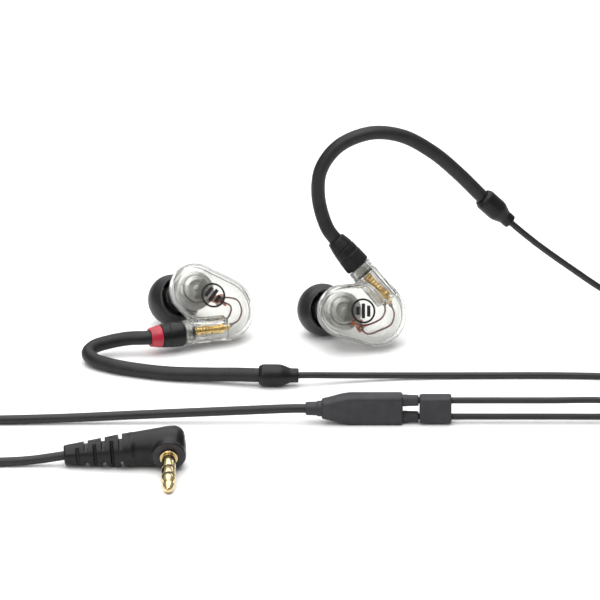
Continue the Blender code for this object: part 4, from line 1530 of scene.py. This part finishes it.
# === Earpiece ====================================================================================
@dataclass(frozen=True)
class Casing(EarPart):
    """Clear outer cover and inner shell, split at the seam and joined to the socket and nozzle."""

    big: tuple[float, float] = (-5.5 * MM, 10.5 * MM)
    big_radius: float = 6.55 * MM
    small: tuple[float, float] = (-11.5 * MM, 4.7 * MM)
    small_radius: float = 8.05 * MM
    seam: float = -0.6 * MM
    seam_gap: float = 0.16 * MM
    face_height: float = 4.2 * MM
    face_rounding: float = 5.6 * MM
    back_depth: float = 6.8 * MM
    back_rounding: float = 6.0 * MM
    face_power: float = 2.5
    back_power: float = 2.0
    wall: float = 0.85 * MM
    socket_radius: float = 3.08 * MM
    socket_length: float = 10.8 * MM
    ridges: tuple[float, ...] = (-0.9 * MM, -2.0 * MM, -3.1 * MM)
    ridge_height: float = 0.11 * MM
    ridge_width: float = 0.3 * MM
    nozzle: tuple[float, float] = (4.0 * MM, 14.2 * MM)
    nozzle_radius: float = 2.45 * MM
    nozzle_bore: float = 1.75 * MM
    lip: float = 13.75 * MM
    lip_height: float = 0.15 * MM
    lip_width: float = 0.42 * MM
    bead: float = 0.3 * MM
    cell: float = 0.33 * MM

    @property
    def nozzle_frame(self) -> Matrix:
        """Frame of the nozzle, with Z out through the driver's middle.

        Returns:
            The matrix from the nozzle's axes to the model's.
        """
        middle = self.ear.frame @ Vector((self.big[0], self.ear.side.value * self.big[1], 0.0))
        lean = math.asin(self.ear.nozzle.dot(self.ear.socket))
        turn = self.ear.frame.to_3x3().to_4x4() @ Matrix.Rotation(math.pi - lean, 4, "Y")
        return Matrix.Translation(middle) @ turn

    def outline(self, x: np.ndarray, y: np.ndarray) -> np.ndarray:
        """Distance from the outline of the two lobes and the straight sides between them.

        Args:
            x: Places along the connector.
            y: Places across it, for the unmirrored side.

        Returns:
            The distances, below zero inside.
        """
        first, second = np.array(self.big), np.array(self.small)
        across = second - first
        long = float(np.hypot(*across))
        across /= long
        u = np.abs((x - first[0]) * across[1] - (y - first[1]) * across[0])
        v = (x - first[0]) * across[0] + (y - first[1]) * across[1]
        b = (self.big_radius - self.small_radius) / long
        a = math.sqrt(1 - b * b)
        k = v * a - u * b
        near = np.hypot(u, v) - self.big_radius
        far = np.hypot(u, v - long) - self.small_radius
        side = u * a + v * b - self.big_radius
        return np.where(k < 0, near, np.where(k > a * long, far, side))

    def lobes(self, points: np.ndarray, wall: float) -> np.ndarray:
        """Field of the two lobes with rounded face and back.

        Args:
            points: Rows of x, y, z in the earpiece's frame.
            wall: How far the surface is moved inwards.

        Returns:
            Values below zero inside.
        """
        inset = -self.outline(points[:, 0], points[:, 1] * self.ear.side.value) - wall
        height = points[:, 2] - self.seam
        front = height > 0
        depth = np.where(front, self.face_height, self.back_depth) - wall
        rounding = np.where(front, self.face_rounding, self.back_rounding) - wall
        rim = np.clip((rounding - inset) / rounding, 0.0, None)
        power = np.where(front, self.face_power, self.back_power)
        reach = (rim ** power + (np.abs(height) / depth) ** power) ** (1 / power)
        return (reach - 1.0) * np.minimum(depth, rounding)

    def barrel(self, points: np.ndarray, extra: float = 0.0) -> np.ndarray:
        """Field of the socket's barrel with its low ridges near the mouth.

        Args:
            points: Rows of x, y, z in the earpiece's frame.
            extra: How much the barrel is thickened.

        Returns:
            Values below zero inside.
        """
        def radius(z: np.ndarray) -> np.ndarray:
            """Radius of the barrel with its ridges."""
            swell = sum(np.exp(-((z - ridge) / self.ridge_width) ** 2) for ridge in self.ridges)
            return self.socket_radius + extra + self.ridge_height * swell

        return rod_field(points, Matrix.Rotation(QUARTER, 4, "Y"), -self.socket_length, 0.0, radius,
                         0.25 * MM)

    def seam_bead(self, shop: Workshop) -> None:
        """Lay the thin bead of cement in the seam between the halves.

        Args:
            shop: The workshop.
        """
        centre = ((self.big[0] + self.small[0]) / 2, (self.big[1] + self.small[1]) / 2)
        angles = np.linspace(0, math.tau, 121)
        low, high = np.zeros_like(angles), np.full_like(angles, 25 * MM)
        for _ in range(30):
            half = (low + high) / 2
            within = self.outline(centre[0] + half * np.cos(angles),
                                  centre[1] + half * np.sin(angles)) < -0.1 * MM
            low, high = np.where(within, half, low), np.where(within, high, half)
        points = [self.ear.frame @ Vector((centre[0] + r * math.cos(a), self.ear.side.value * (
            centre[1] + r * math.sin(a)), self.seam)) for a, r in zip(angles, low)]
        bead = tube(self.ear.name("seam_bead"), points, self.bead)
        shop.settle(bead, self.body, "cement")

    def build(self, shop: Workshop) -> None:
        """Make both clear halves.

        Args:
            shop: The workshop.
        """
        self.seam_bead(shop)
        frame = self.ear.frame
        hand = self.ear.side.value
        local_nozzle = frame.inverted() @ self.nozzle_frame

        def neck(z: np.ndarray) -> np.ndarray:
            """Radius of the nozzle with its lip."""
            return self.nozzle_radius + self.lip_height * np.exp(
                -((z - self.lip) / self.lip_width) ** 4)

        def outer(points: np.ndarray) -> np.ndarray:
            """Field of the closed casing with its nozzle and its socket.

            Args:
                points: Rows of x, y, z in the earpiece's frame.

            Returns:
                Values below zero inside.
            """
            nozzle = rod_field(points, local_nozzle, *self.nozzle, neck, 0.2 * MM)
            whole = blend_min(self.lobes(points, 0.0), nozzle, 1.6 * MM)
            return blend_min(whole, self.barrel(points), 0.7 * MM)

        def cavity(points: np.ndarray) -> np.ndarray:
            """Field of the hollow, which leaves the socket's barrel standing."""
            return -blend_min(-self.lobes(points, self.wall), self.barrel(points, 0.05 * MM),
                              0.6 * MM)

        y_low, y_high = sorted((hand * -5.2 * MM, hand * 18.4 * MM))
        low, high = (-21.0 * MM, y_low, -15.6 * MM), (2.0 * MM, y_high, 5.0 * MM)
        shell = skin_of("casing_outer", outer, low, high, self.cell)
        hollow = skin_of("casing_hollow", cavity, low, high, self.cell)
        bores = lathe("socket_bores", softened(in_metres(
            [(0, -13), (1.85, -13), (1.85, -3.0), (2.4, -2.8), (2.4, -0.2), (2.7, 1), (0, 1)]),
            0.08 * MM), Matrix.Rotation(QUARTER, 4, "Y"))
        bore = round_cut("nozzle_bore", self.nozzle_bore, 3 * MM, 16 * MM, local_nozzle)
        carve(shell, ("DIFFERENCE", hollow), ("DIFFERENCE", bores))
        gap, wide = self.seam_gap / 2, 60 * MM
        middle = (-8.0 * MM, hand * 6.0 * MM)
        inner = link("inner_half", shell.data.copy())
        behind = block("behind", (wide, wide, wide),
                       Matrix.Translation((*middle, self.seam + gap - wide / 2)))
        before = block("before", (wide, wide, wide),
                       Matrix.Translation((*middle, self.seam - gap + wide / 2)))
        carve(shell, ("DIFFERENCE", behind))
        carve(inner, ("DIFFERENCE", bore), ("DIFFERENCE", before))
        for half, piece, node in ((shell, "cover_clear", "outer_cover"),
                                  (inner, "shell_clear", "inner_shell")):
            half.data.transform(frame)
            half.name = self.ear.name(piece)
            shop.settle(half, self.body, "clear_polycarbonate", self.ear.name(node))


@dataclass(frozen=True)
class Interior(EarPart):
    """Driver, contacts, board, wires and screen inside the clear casing."""

    casing: Casing
    board_spots: ClassVar[dict[Side, tuple[float, float]]] = {
        Side.RIGHT: (-10.2, 7.0), Side.LEFT: (-10.2, 10.0)}

    def driver(self, shop: Workshop) -> None:
        """Make the dynamic driver: basket, stepped magnet cup, D-shaped plate and diaphragm.

        Args:
            shop: The workshop.
        """
        middle = self.ear.frame @ Matrix.Translation(
            (self.casing.big[0], self.ear.side.value * self.casing.big[1], 0.0))
        self.turned(shop, "driver_basket",
                    [(4.9, -0.7), (4.9, -3.2), (4.3, -3.2), (4.3, -1.2), (3.35, -0.9),
                     (3.35, -0.1), (3.9, -0.05), (4.1, -0.4), (4.6, -0.45)],
                    "driver_steel", "driver_frame", closed=True, place=middle)
        self.turned(shop, "magnet_cup",
                    [(0, -2.0), (3.3, -2.0), (3.3, 0.2), (3.05, 0.55), (2.6, 0.6), (2.5, 0.75),
                     (1.9, 0.8), (1.8, 0.62), (0.7, 0.62), (0.6, 0.85), (0, 0.88)],
                    "driver_steel", "driver_magnet", place=middle)
        self.turned(shop, "diaphragm_film",
                    [(0, -2.3), (1.2, -2.35), (2.2, -2.6), (3.2, -2.5), (4.1, -2.75), (4.1, -2.9),
                     (3.2, -2.65), (2.2, -2.75), (1.2, -2.5), (0, -2.45)],
                    "driver_film", "driver_diaphragm", place=middle)
        points, count, flat = [], 48, Vector((-0.85, -0.52 * self.ear.side.value, 0.0))
        rings = ((3.0, 0.62), (3.0, 1.05), (2.85, 1.2))
        for radius, height in rings:
            for step in range(count):
                angle = math.tau * step / count
                spot = Vector((radius * math.cos(angle), radius * math.sin(angle), 0.0))
                short = max(0.0, radius - 2.55 - spot.dot(flat))
                spot += flat * short
                points.append(middle @ ((spot + Vector((0.0, 0.0, height))) * MM))
        plate = solid(self.ear.name("driver_plate"), points, stacked_faces(count, len(rings)))
        shop.settle(plate, self.body, "bright_plate")
        self.turned(shop, "screen_mesh", [(0, 13.4), (1.6, 13.4), (1.6, 13.9), (0, 13.9)],
                    "driver_steel", "nozzle_screen", place=self.casing.nozzle_frame)

    def contacts(self, shop: Workshop) -> None:
        """Make the grooved ground contact, the signal contact and the snap ring.

        Args:
            shop: The workshop.
        """
        pitch = 0.85
        grooves: Profile = [(1.05, -3.2), (1.22, -3.3)]
        for number in range(5):
            start = -3.9 - pitch * number
            grooves += [(1.22, start), (1.08, start - 0.12), (1.08, start - 0.34),
                        (1.22, start - 0.46)]
        profile = [*grooves, (1.22, -9.1), (1.5, -9.25), (1.5, -10.2), (1.35, -10.3),
                   (0.98, -10.3), (0.98, -3.2)]
        contact = self.turned(shop, "ground_contact_turned", profile, "contact_gold",
                              "socket_ground_contact", closed=True)
        for number in range(4):
            for turn in range(3):
                spin = Matrix.Rotation(math.radians(120 * turn + 40 * number), 4, "Z")
                window = block("contact_window", (1.0 * MM, 0.9 * MM, 0.42 * MM),
                               self.ear.axle @ spin @ Matrix.Translation(
                                   (1.25 * MM, 0.0, (-4.55 - pitch * number) * MM)))
                carve(contact, ("DIFFERENCE", window))
        self.turned(shop, "signal_contact_turned",
                    [(0.78, -8.0), (0.78, -11.3), (0.6, -11.5), (0.6, -12.1), (0.42, -12.1),
                     (0.42, -8.0)], "contact_gold", "socket_signal_contact", closed=True)
        steps = 40
        snap = tube(self.ear.name("snap_ring_wire"), [
            self.ear.axle @ (Vector((0.88 * math.cos(a), 0.88 * math.sin(a), -5.0)) * MM)
            for a in (math.radians(12 + 336 * k / steps) for k in range(steps + 1))], 0.26 * MM)
        shop.settle(snap, self.ear.body("swivel"), "driver_steel", self.ear.name("snap_ring"))

    def wiring(self, shop: Workshop) -> None:
        """Make the board, its solder and the two enamelled wires.

        Args:
            shop: The workshop.
        """
        spin = self.ear.frame.to_3x3().to_4x4()
        x, y = self.board_spots[self.ear.side]
        outline = ((-2.2, 0.5), (-1.9, 1.2), (-0.9, 1.3), (0.0, 1.05), (0.9, 1.4), (1.7, 1.1),
                   (1.9, 0.3), (1.5, -0.5), (0.6, -0.7), (0.1, -1.5), (-0.4, -1.6), (-0.5, -0.8),
                   (-1.1, -0.9), (-1.7, -1.9), (-2.1, -1.8), (-1.8, -0.7))
        count = len(outline)
        points = [self.ear.spot(x + u, y + v, 0.3 + 0.35 * math.sin(u + v) + thick)
                  for thick in (0.0, 0.28) for u, v in outline]
        board = solid(self.ear.name("board"), points, stacked_faces(count, 2))
        shop.settle(board, self.body, "orange_board", self.ear.name("terminal_board"))
        dots = {"solder_a": ((-12.5, 0.35, 0.25), 0.6), "solder_b": ((-11.15, 1.45, 0.35), 0.6),
                "solder_c": ((x - 1.3, y + 0.4, 0.8), 0.55), "solder_d": ((x, y, 0.8), 0.5),
                "solder_e": ((x + 1.1, y + 0.5, 0.8), 0.5)}
        dome: Profile = [(0, -0.45), (0.6, -0.4), (0.95, 0.0), (0.75, 0.45), (0.3, 0.75), (0, 0.8)]
        for name, (spot, size) in dots.items():
            profile = in_metres([(r * size, h * size) for r, h in dome])
            dot = lathe(self.ear.name(name), softened(profile, 0.1 * MM),
                        Matrix.Translation(self.ear.spot(*spot)) @ spin, steps=20)
            shop.settle(dot, self.body, "solder")
        routes = {"signal_wire": ((-12.4, 0.3, 0.35), (-14.6, 1.2, 0.5), (-16.0, 3.6, 0.6),
                                  (-15.4, 6.2, 0.6), (-13.6, y, 0.7), (x - 1.3, y + 0.4, 0.8)),
                  "ground_wire": ((-11.2, 1.5, 0.5), (-12.6, 2.8, 0.8), (-13.2, 4.8, 1.0),
                                  (-11.6, y - 0.8, 0.8), (x, y, 0.85))}
        for name, route in routes.items():
            points = smooth_route([self.ear.spot(*spot) for spot in route], 0.35 * MM)
            wire = tube(self.ear.name(f"{name}_run"), points, 0.46 * MM)
            shop.settle(wire, self.body, "enamelled_wire", self.ear.name(name))

    def build(self, shop: Workshop) -> None:
        """Make everything inside the casing.

        Args:
            shop: The workshop.
        """
        self.driver(shop)
        self.contacts(shop)
        self.wiring(shop)


@dataclass(frozen=True)
class EarTip(EarPart):
    """Silicone tip: a stem on the nozzle and a thin dome that folds back to an open rim.

    Its sizes are in millimetres.
    """

    casing: Casing
    rim: float = 9.0
    widest: float = 12.3
    reach: float = 5.7
    radius: float = 6.5
    stem_bore: float = 2.75
    skin: float = 0.6
    stem_wall: float = 0.8

    def dome(self, first: float, last: float, inset: float) -> Profile:
        """Arc of the dome's profile.

        Args:
            first: Angle at which it starts.
            last: Angle at which it ends.
            inset: How far it lies inside the dome.

        Returns:
            Its points in millimetres.
        """
        count = 22
        angles = [first + (last - first) * step / count for step in range(count + 1)]
        return [((self.radius - inset) * math.cos(angle),
                 self.widest + (self.reach - inset) * math.sin(angle)) for angle in angles]

    def build(self, shop: Workshop) -> None:
        """Turn the tip about the nozzle.

        Args:
            shop: The workshop.
        """
        low = -math.asin((self.widest - self.rim) / self.reach)
        outer = self.dome(math.acos((self.stem_bore + 0.55) / self.radius), low, 0.0)
        stem = self.stem_bore + self.stem_wall
        inner = self.dome(low, math.acos((stem + 0.3) / (self.radius - self.skin)), self.skin)
        bead_r, bead_h = outer[-1]
        bead = [(bead_r, bead_h - 0.2), (bead_r - 0.2, bead_h - 0.36),
                (bead_r - 0.5, bead_h - 0.2)]
        top = outer[0][1]
        stem_side = [(stem + 0.05, inner[-1][1] - 0.35), (stem, self.rim + 1.2),
                     (stem, self.rim + 0.1), (stem - 0.15, self.rim),
                     (self.stem_bore + 0.1, self.rim), (self.stem_bore, self.rim + 0.1)]
        mouth = [(self.stem_bore, top - 0.9), (self.stem_bore + 0.06, top - 0.25),
                 (self.stem_bore + 0.25, top - 0.02)]
        profile = in_metres([*outer, *bead, *inner, *stem_side, *mouth])
        tip = lathe(self.ear.name("tip_silicone"), profile, self.casing.nozzle_frame, True, 72)
        shop.settle(tip, self.ear.body("tip"), "black_silicone", self.ear.name("ear_tip"))


@dataclass(frozen=True)
class LevelMark(EarPart):
    """Generic printed mark, in millimetres: a ring round three level bars."""

    casing: Casing
    middle: tuple[float, float] = (-8.4, 7.8)
    radius: float = 3.15
    stroke: float = 0.5
    bars: tuple[tuple[float, float], ...] = ((-1.4, 1.0), (0.0, 1.85), (1.4, 1.4))
    bar_width: float = 0.9
    ink: tuple[float, float] = (0.03, 0.01)

    def shapes(self) -> list[Profile]:
        """Small four-sided shapes that make up the ring and the bars.

        Returns:
            The corners of each, in millimetres from the mark's middle.
        """
        result: list[Profile] = []
        steps, inner, half_width = 64, self.radius - self.stroke, self.bar_width / 2
        for step in range(steps):
            angle, after = (math.tau * s / steps for s in (step, step + 1))
            result.append([(r * math.cos(a), r * math.sin(a)) for r, a in (
                (self.radius, angle), (self.radius, after), (inner, after), (inner, angle))])
        for x, half in self.bars:
            left, right = x - half_width, x + half_width
            cuts = np.linspace(-half, half, 7)
            result += [[(left, a), (right, a), (right, b), (left, b)]
                       for a, b in zip(cuts, cuts[1:])]
        return result

    def build(self, shop: Workshop) -> None:
        """Lay the mark's flat shapes on the face.

        Args:
            shop: The workshop.
        """
        hand = self.ear.side.value
        up = Vector((0.738, -hand * 0.686, 0.0)).normalized()
        right = up.cross(Vector((0.0, 0.0, 1.0)))
        middle = Vector((self.middle[0], hand * self.middle[1], 0.0))
        points: list[Vector] = []
        faces: list[list[int]] = []
        for shape in self.shapes():
            spots = [(middle + right * u + up * v) * MM for u, v in shape]
            tops = [self.face_at(spot.x, spot.y) for spot in spots]
            faces += stacked_faces(4, 2, len(points))
            points += [self.ear.frame @ Vector((spot.x, spot.y, top + rise * MM))
                       for rise in self.ink for spot, top in zip(spots, tops)]
        shop.settle(solid(self.ear.name("level_mark"), points, faces), self.body, "print")

    def face_at(self, x: float, y: float) -> float:
        """Find the height of the cover's face by halving.

        Args:
            x: Place along the connector.
            y: Place across it.

        Returns:
            The height in the earpiece's frame.
        """
        low, high = 0.0, 5.0 * MM
        for _ in range(24):
            middle = (low + high) / 2
            if self.casing.lobes(np.array([[x, y, middle]]), 0.0)[0] < 0:
                low = middle
            else:
                high = middle
        return (low + high) / 2


# === Studio ======================================================================================
@dataclass(frozen=True)
class Studio:
    """White table, soft boxes, a bright sweep and the long-lens camera."""

    target: Point = (-0.01525, 0.07865, 0.0)
    elevation: float = 22.5
    width: float = 0.150
    lens: float = 1000.0
    sensor: float = 36.0
    sky_stops: tuple[tuple[float, float], ...] = ((0.0, 0.35), (0.12, 0.42), (0.45, 0.75),
                                                  (1.0, 1.0))
    sky_strength: float = 0.62
    table_half: float = 6.0
    table_drop: float = 0.02 * MM
    lamp_aim: Point = (0.0, 0.02, 0.01)

    def camera(self) -> None:
        """Aim the camera along +Y and down."""
        data = bpy.data.cameras.new("studio_camera")
        data.lens = self.lens
        data.sensor_width = self.sensor
        data.clip_start, data.clip_end = 0.1, 60.0
        camera = link("studio_camera", data)
        tilt = math.radians(self.elevation)
        ahead = Vector((0.0, math.cos(tilt), -math.sin(tilt)))
        camera.location = Vector(self.target) - ahead * (self.width * self.lens / self.sensor)
        camera.rotation_euler = (QUARTER - tilt, 0.0, 0.0)
        bpy.context.scene.camera = camera

    def lamp(self, name: str, place: Point, size: tuple[float, float], power: float) -> None:
        """Add one soft box that points at the object.

        Args:
            name: The lamp's name.
            place: Where it hangs.
            size: Its width and height.
            power: Its power in watts.
        """
        data = bpy.data.lights.new(name, "AREA")
        data.shape = "RECTANGLE"
        data.size, data.size_y = size
        data.energy = power
        lamp = link(name, data)
        lamp.location = place
        way = Vector(self.lamp_aim) - Vector(place)
        lamp.rotation_euler = way.to_track_quat("-Z", "Y").to_euler()
        lamp.visible_camera = False

    def sweep(self) -> None:
        """Surround the scene with a grey that brightens upwards."""
        world = bpy.data.worlds.new("studio_sweep")
        recipe = Recipe(world, "Generated")
        height = recipe.node("ShaderNodeSeparateXYZ", {}, {0: recipe.place}).outputs["Z"]
        stops = [(place, (grey, grey, grey)) for place, grey in self.sky_stops]
        ramp = recipe.node("ShaderNodeValToRGB", {"stops": stops}, {0: height})
        sky = recipe.node("ShaderNodeBackground", {},
                          {"Color": ramp.outputs[0], "Strength": self.sky_strength})
        recipe.node("ShaderNodeOutputWorld", {}, {0: sky.outputs[0]})
        bpy.context.scene.world = world

    def build(self) -> None:
        """Set up the table, the surroundings and the lamps."""
        half = self.table_half
        floor = solid("tabletop", [(-half, -half, 0), (half, -half, 0), (half, half, 0),
                                   (-half, half, 0)], [[0, 1, 2, 3]])
        floor.data.materials.append(Tabletop().make())
        floor.location.z = -self.table_drop
        self.sweep()
        self.lamp("overhead_box", (-0.05, 0.03, 0.75), (1.2, 0.9), 9.5)
        self.lamp("back_strip", (0.1, 0.7, 0.35), (0.9, 0.2), 0.8)
        self.lamp("front_fill", (-0.45, -0.7, 0.55), (0.35, 0.5), 2.2)
        bpy.context.scene.view_settings.view_transform = "Standard"


def make_finishes(ears: dict[Side, Ear], plug: Plug) -> dict[str, bpy.types.Material]:
    """Make every finish.

    Args:
        ears: The earpieces' frames.
        plug: The plug, for the axis of its jack's lathe marks.

    Returns:
        Materials by name.
    """
    pin = plug.pin_frame
    pin_axis = tuple(pin.to_3x3() @ Vector((0.0, 0.0, 1.0)))
    ear = ears[Side.RIGHT]
    face = tuple(ear.frame.to_3x3() @ Vector((0.0, 0.0, 1.0)))
    driver = tuple(ear.spot(-5.5, 10.5, 0.0))
    finishes = {
        "clear_polycarbonate": ClearPlastic(),
        "black_silicone": Moulding("ear_tip_silicone", "0b0b0c", "131314", (0.36, 0.46), 300.0,
                                   7000.0, 0.006 * MM, sheen=0.12),
        "hook_sheath": Moulding("hook_sheath_finish", "111112", "1a1a1c", (0.42, 0.52), 380.0,
                                8000.0, 0.012 * MM, sheen=0.03, specular=0.33),
        "moulded_black": Moulding("moulded_black_finish", "09090a", "111112", (0.3, 0.42), 350.0,
                                  10000.0, 0.014 * MM, specular=0.27),
        "matt_black": Moulding("matt_black_finish", "242427", "2d2d30", (0.48, 0.58), 350.0,
                               10000.0, 0.02 * MM, specular=0.36),
        "plug_face": Moulding("plug_face_finish", "1c1a1e", "28262b", (0.4, 0.5), 350.0,
                              10000.0, 0.01 * MM),
        "red_marker": Moulding("red_marker_finish", "9a1428", "b5243a", (0.3, 0.42), 500.0,
                               9000.0, 0.006 * MM, coat=0.2),
        "driver_film": Moulding("driver_film_finish", "b9b3a2", "cfc9b8", (0.25, 0.4), 900.0,
                                12000.0, 0.004 * MM),
        "white_insulator": Moulding("white_insulator_finish", "d6d2c8", "e6e2d8", (0.4, 0.5),
                                    800.0, 9000.0, 0.004 * MM),
        "black_insulator": Moulding("black_insulator_finish", "141415", "1d1d1e", (0.35, 0.45),
                                    800.0, 9000.0, 0.004 * MM),
        "print": Moulding("mark_print_finish", "0c0c0d", "141415", (0.3, 0.4), 900.0, 9000.0,
                          0.002 * MM),
        "cement": Moulding("seam_cement_finish", "5d5d5a", "747471", (0.3, 0.4), 800.0, 7000.0,
                           0.004 * MM),
        "cable_sheath": CableSkin(),
        "jack_gold": TurnedMetal("jack_gold_finish", "c9b484", "ead9ab", tuple(pin.translation),
                                 pin_axis, (0.06, 0.18)),
        "contact_gold": TurnedMetal("contact_gold_finish", "dcb35c", "fbe3a4", tuple(ear.mouth),
                                    tuple(ear.socket), (0.08, 0.2)),
        "driver_steel": TurnedMetal("driver_steel_finish", "b4b5b2", "cfd0cd", driver, face,
                                    (0.25, 0.42)),
        "bright_plate": TurnedMetal("bright_plate_finish", "8d8d86", "a9a9a2", driver, face,
                                    (0.3, 0.42)),
        "solder": TurnedMetal("solder_finish", "6f7173", "8d8f91", driver, face, (0.2, 0.35)),
        "orange_board": BoardFinish(),
        "enamelled_wire": EnamelWire()}
    return {name: finish.make() for name, finish in finishes.items()}


def main() -> None:
    """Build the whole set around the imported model."""
    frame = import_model()
    logging.basicConfig(level=logging.INFO, format="%(message)s")
    joints = frame["record"]["behaviour"]["joints"]
    ears = {side: Ear.from_record(side, joints) for side in Side}
    plug = Plug()
    studio = Studio()
    studio.camera()
    shop = Workshop(make_finishes(ears, plug))
    make_cords(shop, plug, plug.build(shop))
    Splitter().build(shop)
    ChinSlider().build(shop)
    for ear in ears.values():
        casing = Casing(ear)
        EarHook(ear).build(shop)
        casing.build(shop)
        Interior(ear, casing).build(shop)
        EarTip(ear, casing).build(shop)
        LevelMark(ear, casing).build(shop)
    studio.build()
    LOG.info("%d pieces", shop.count)


if __name__ == "__main__":
    main()
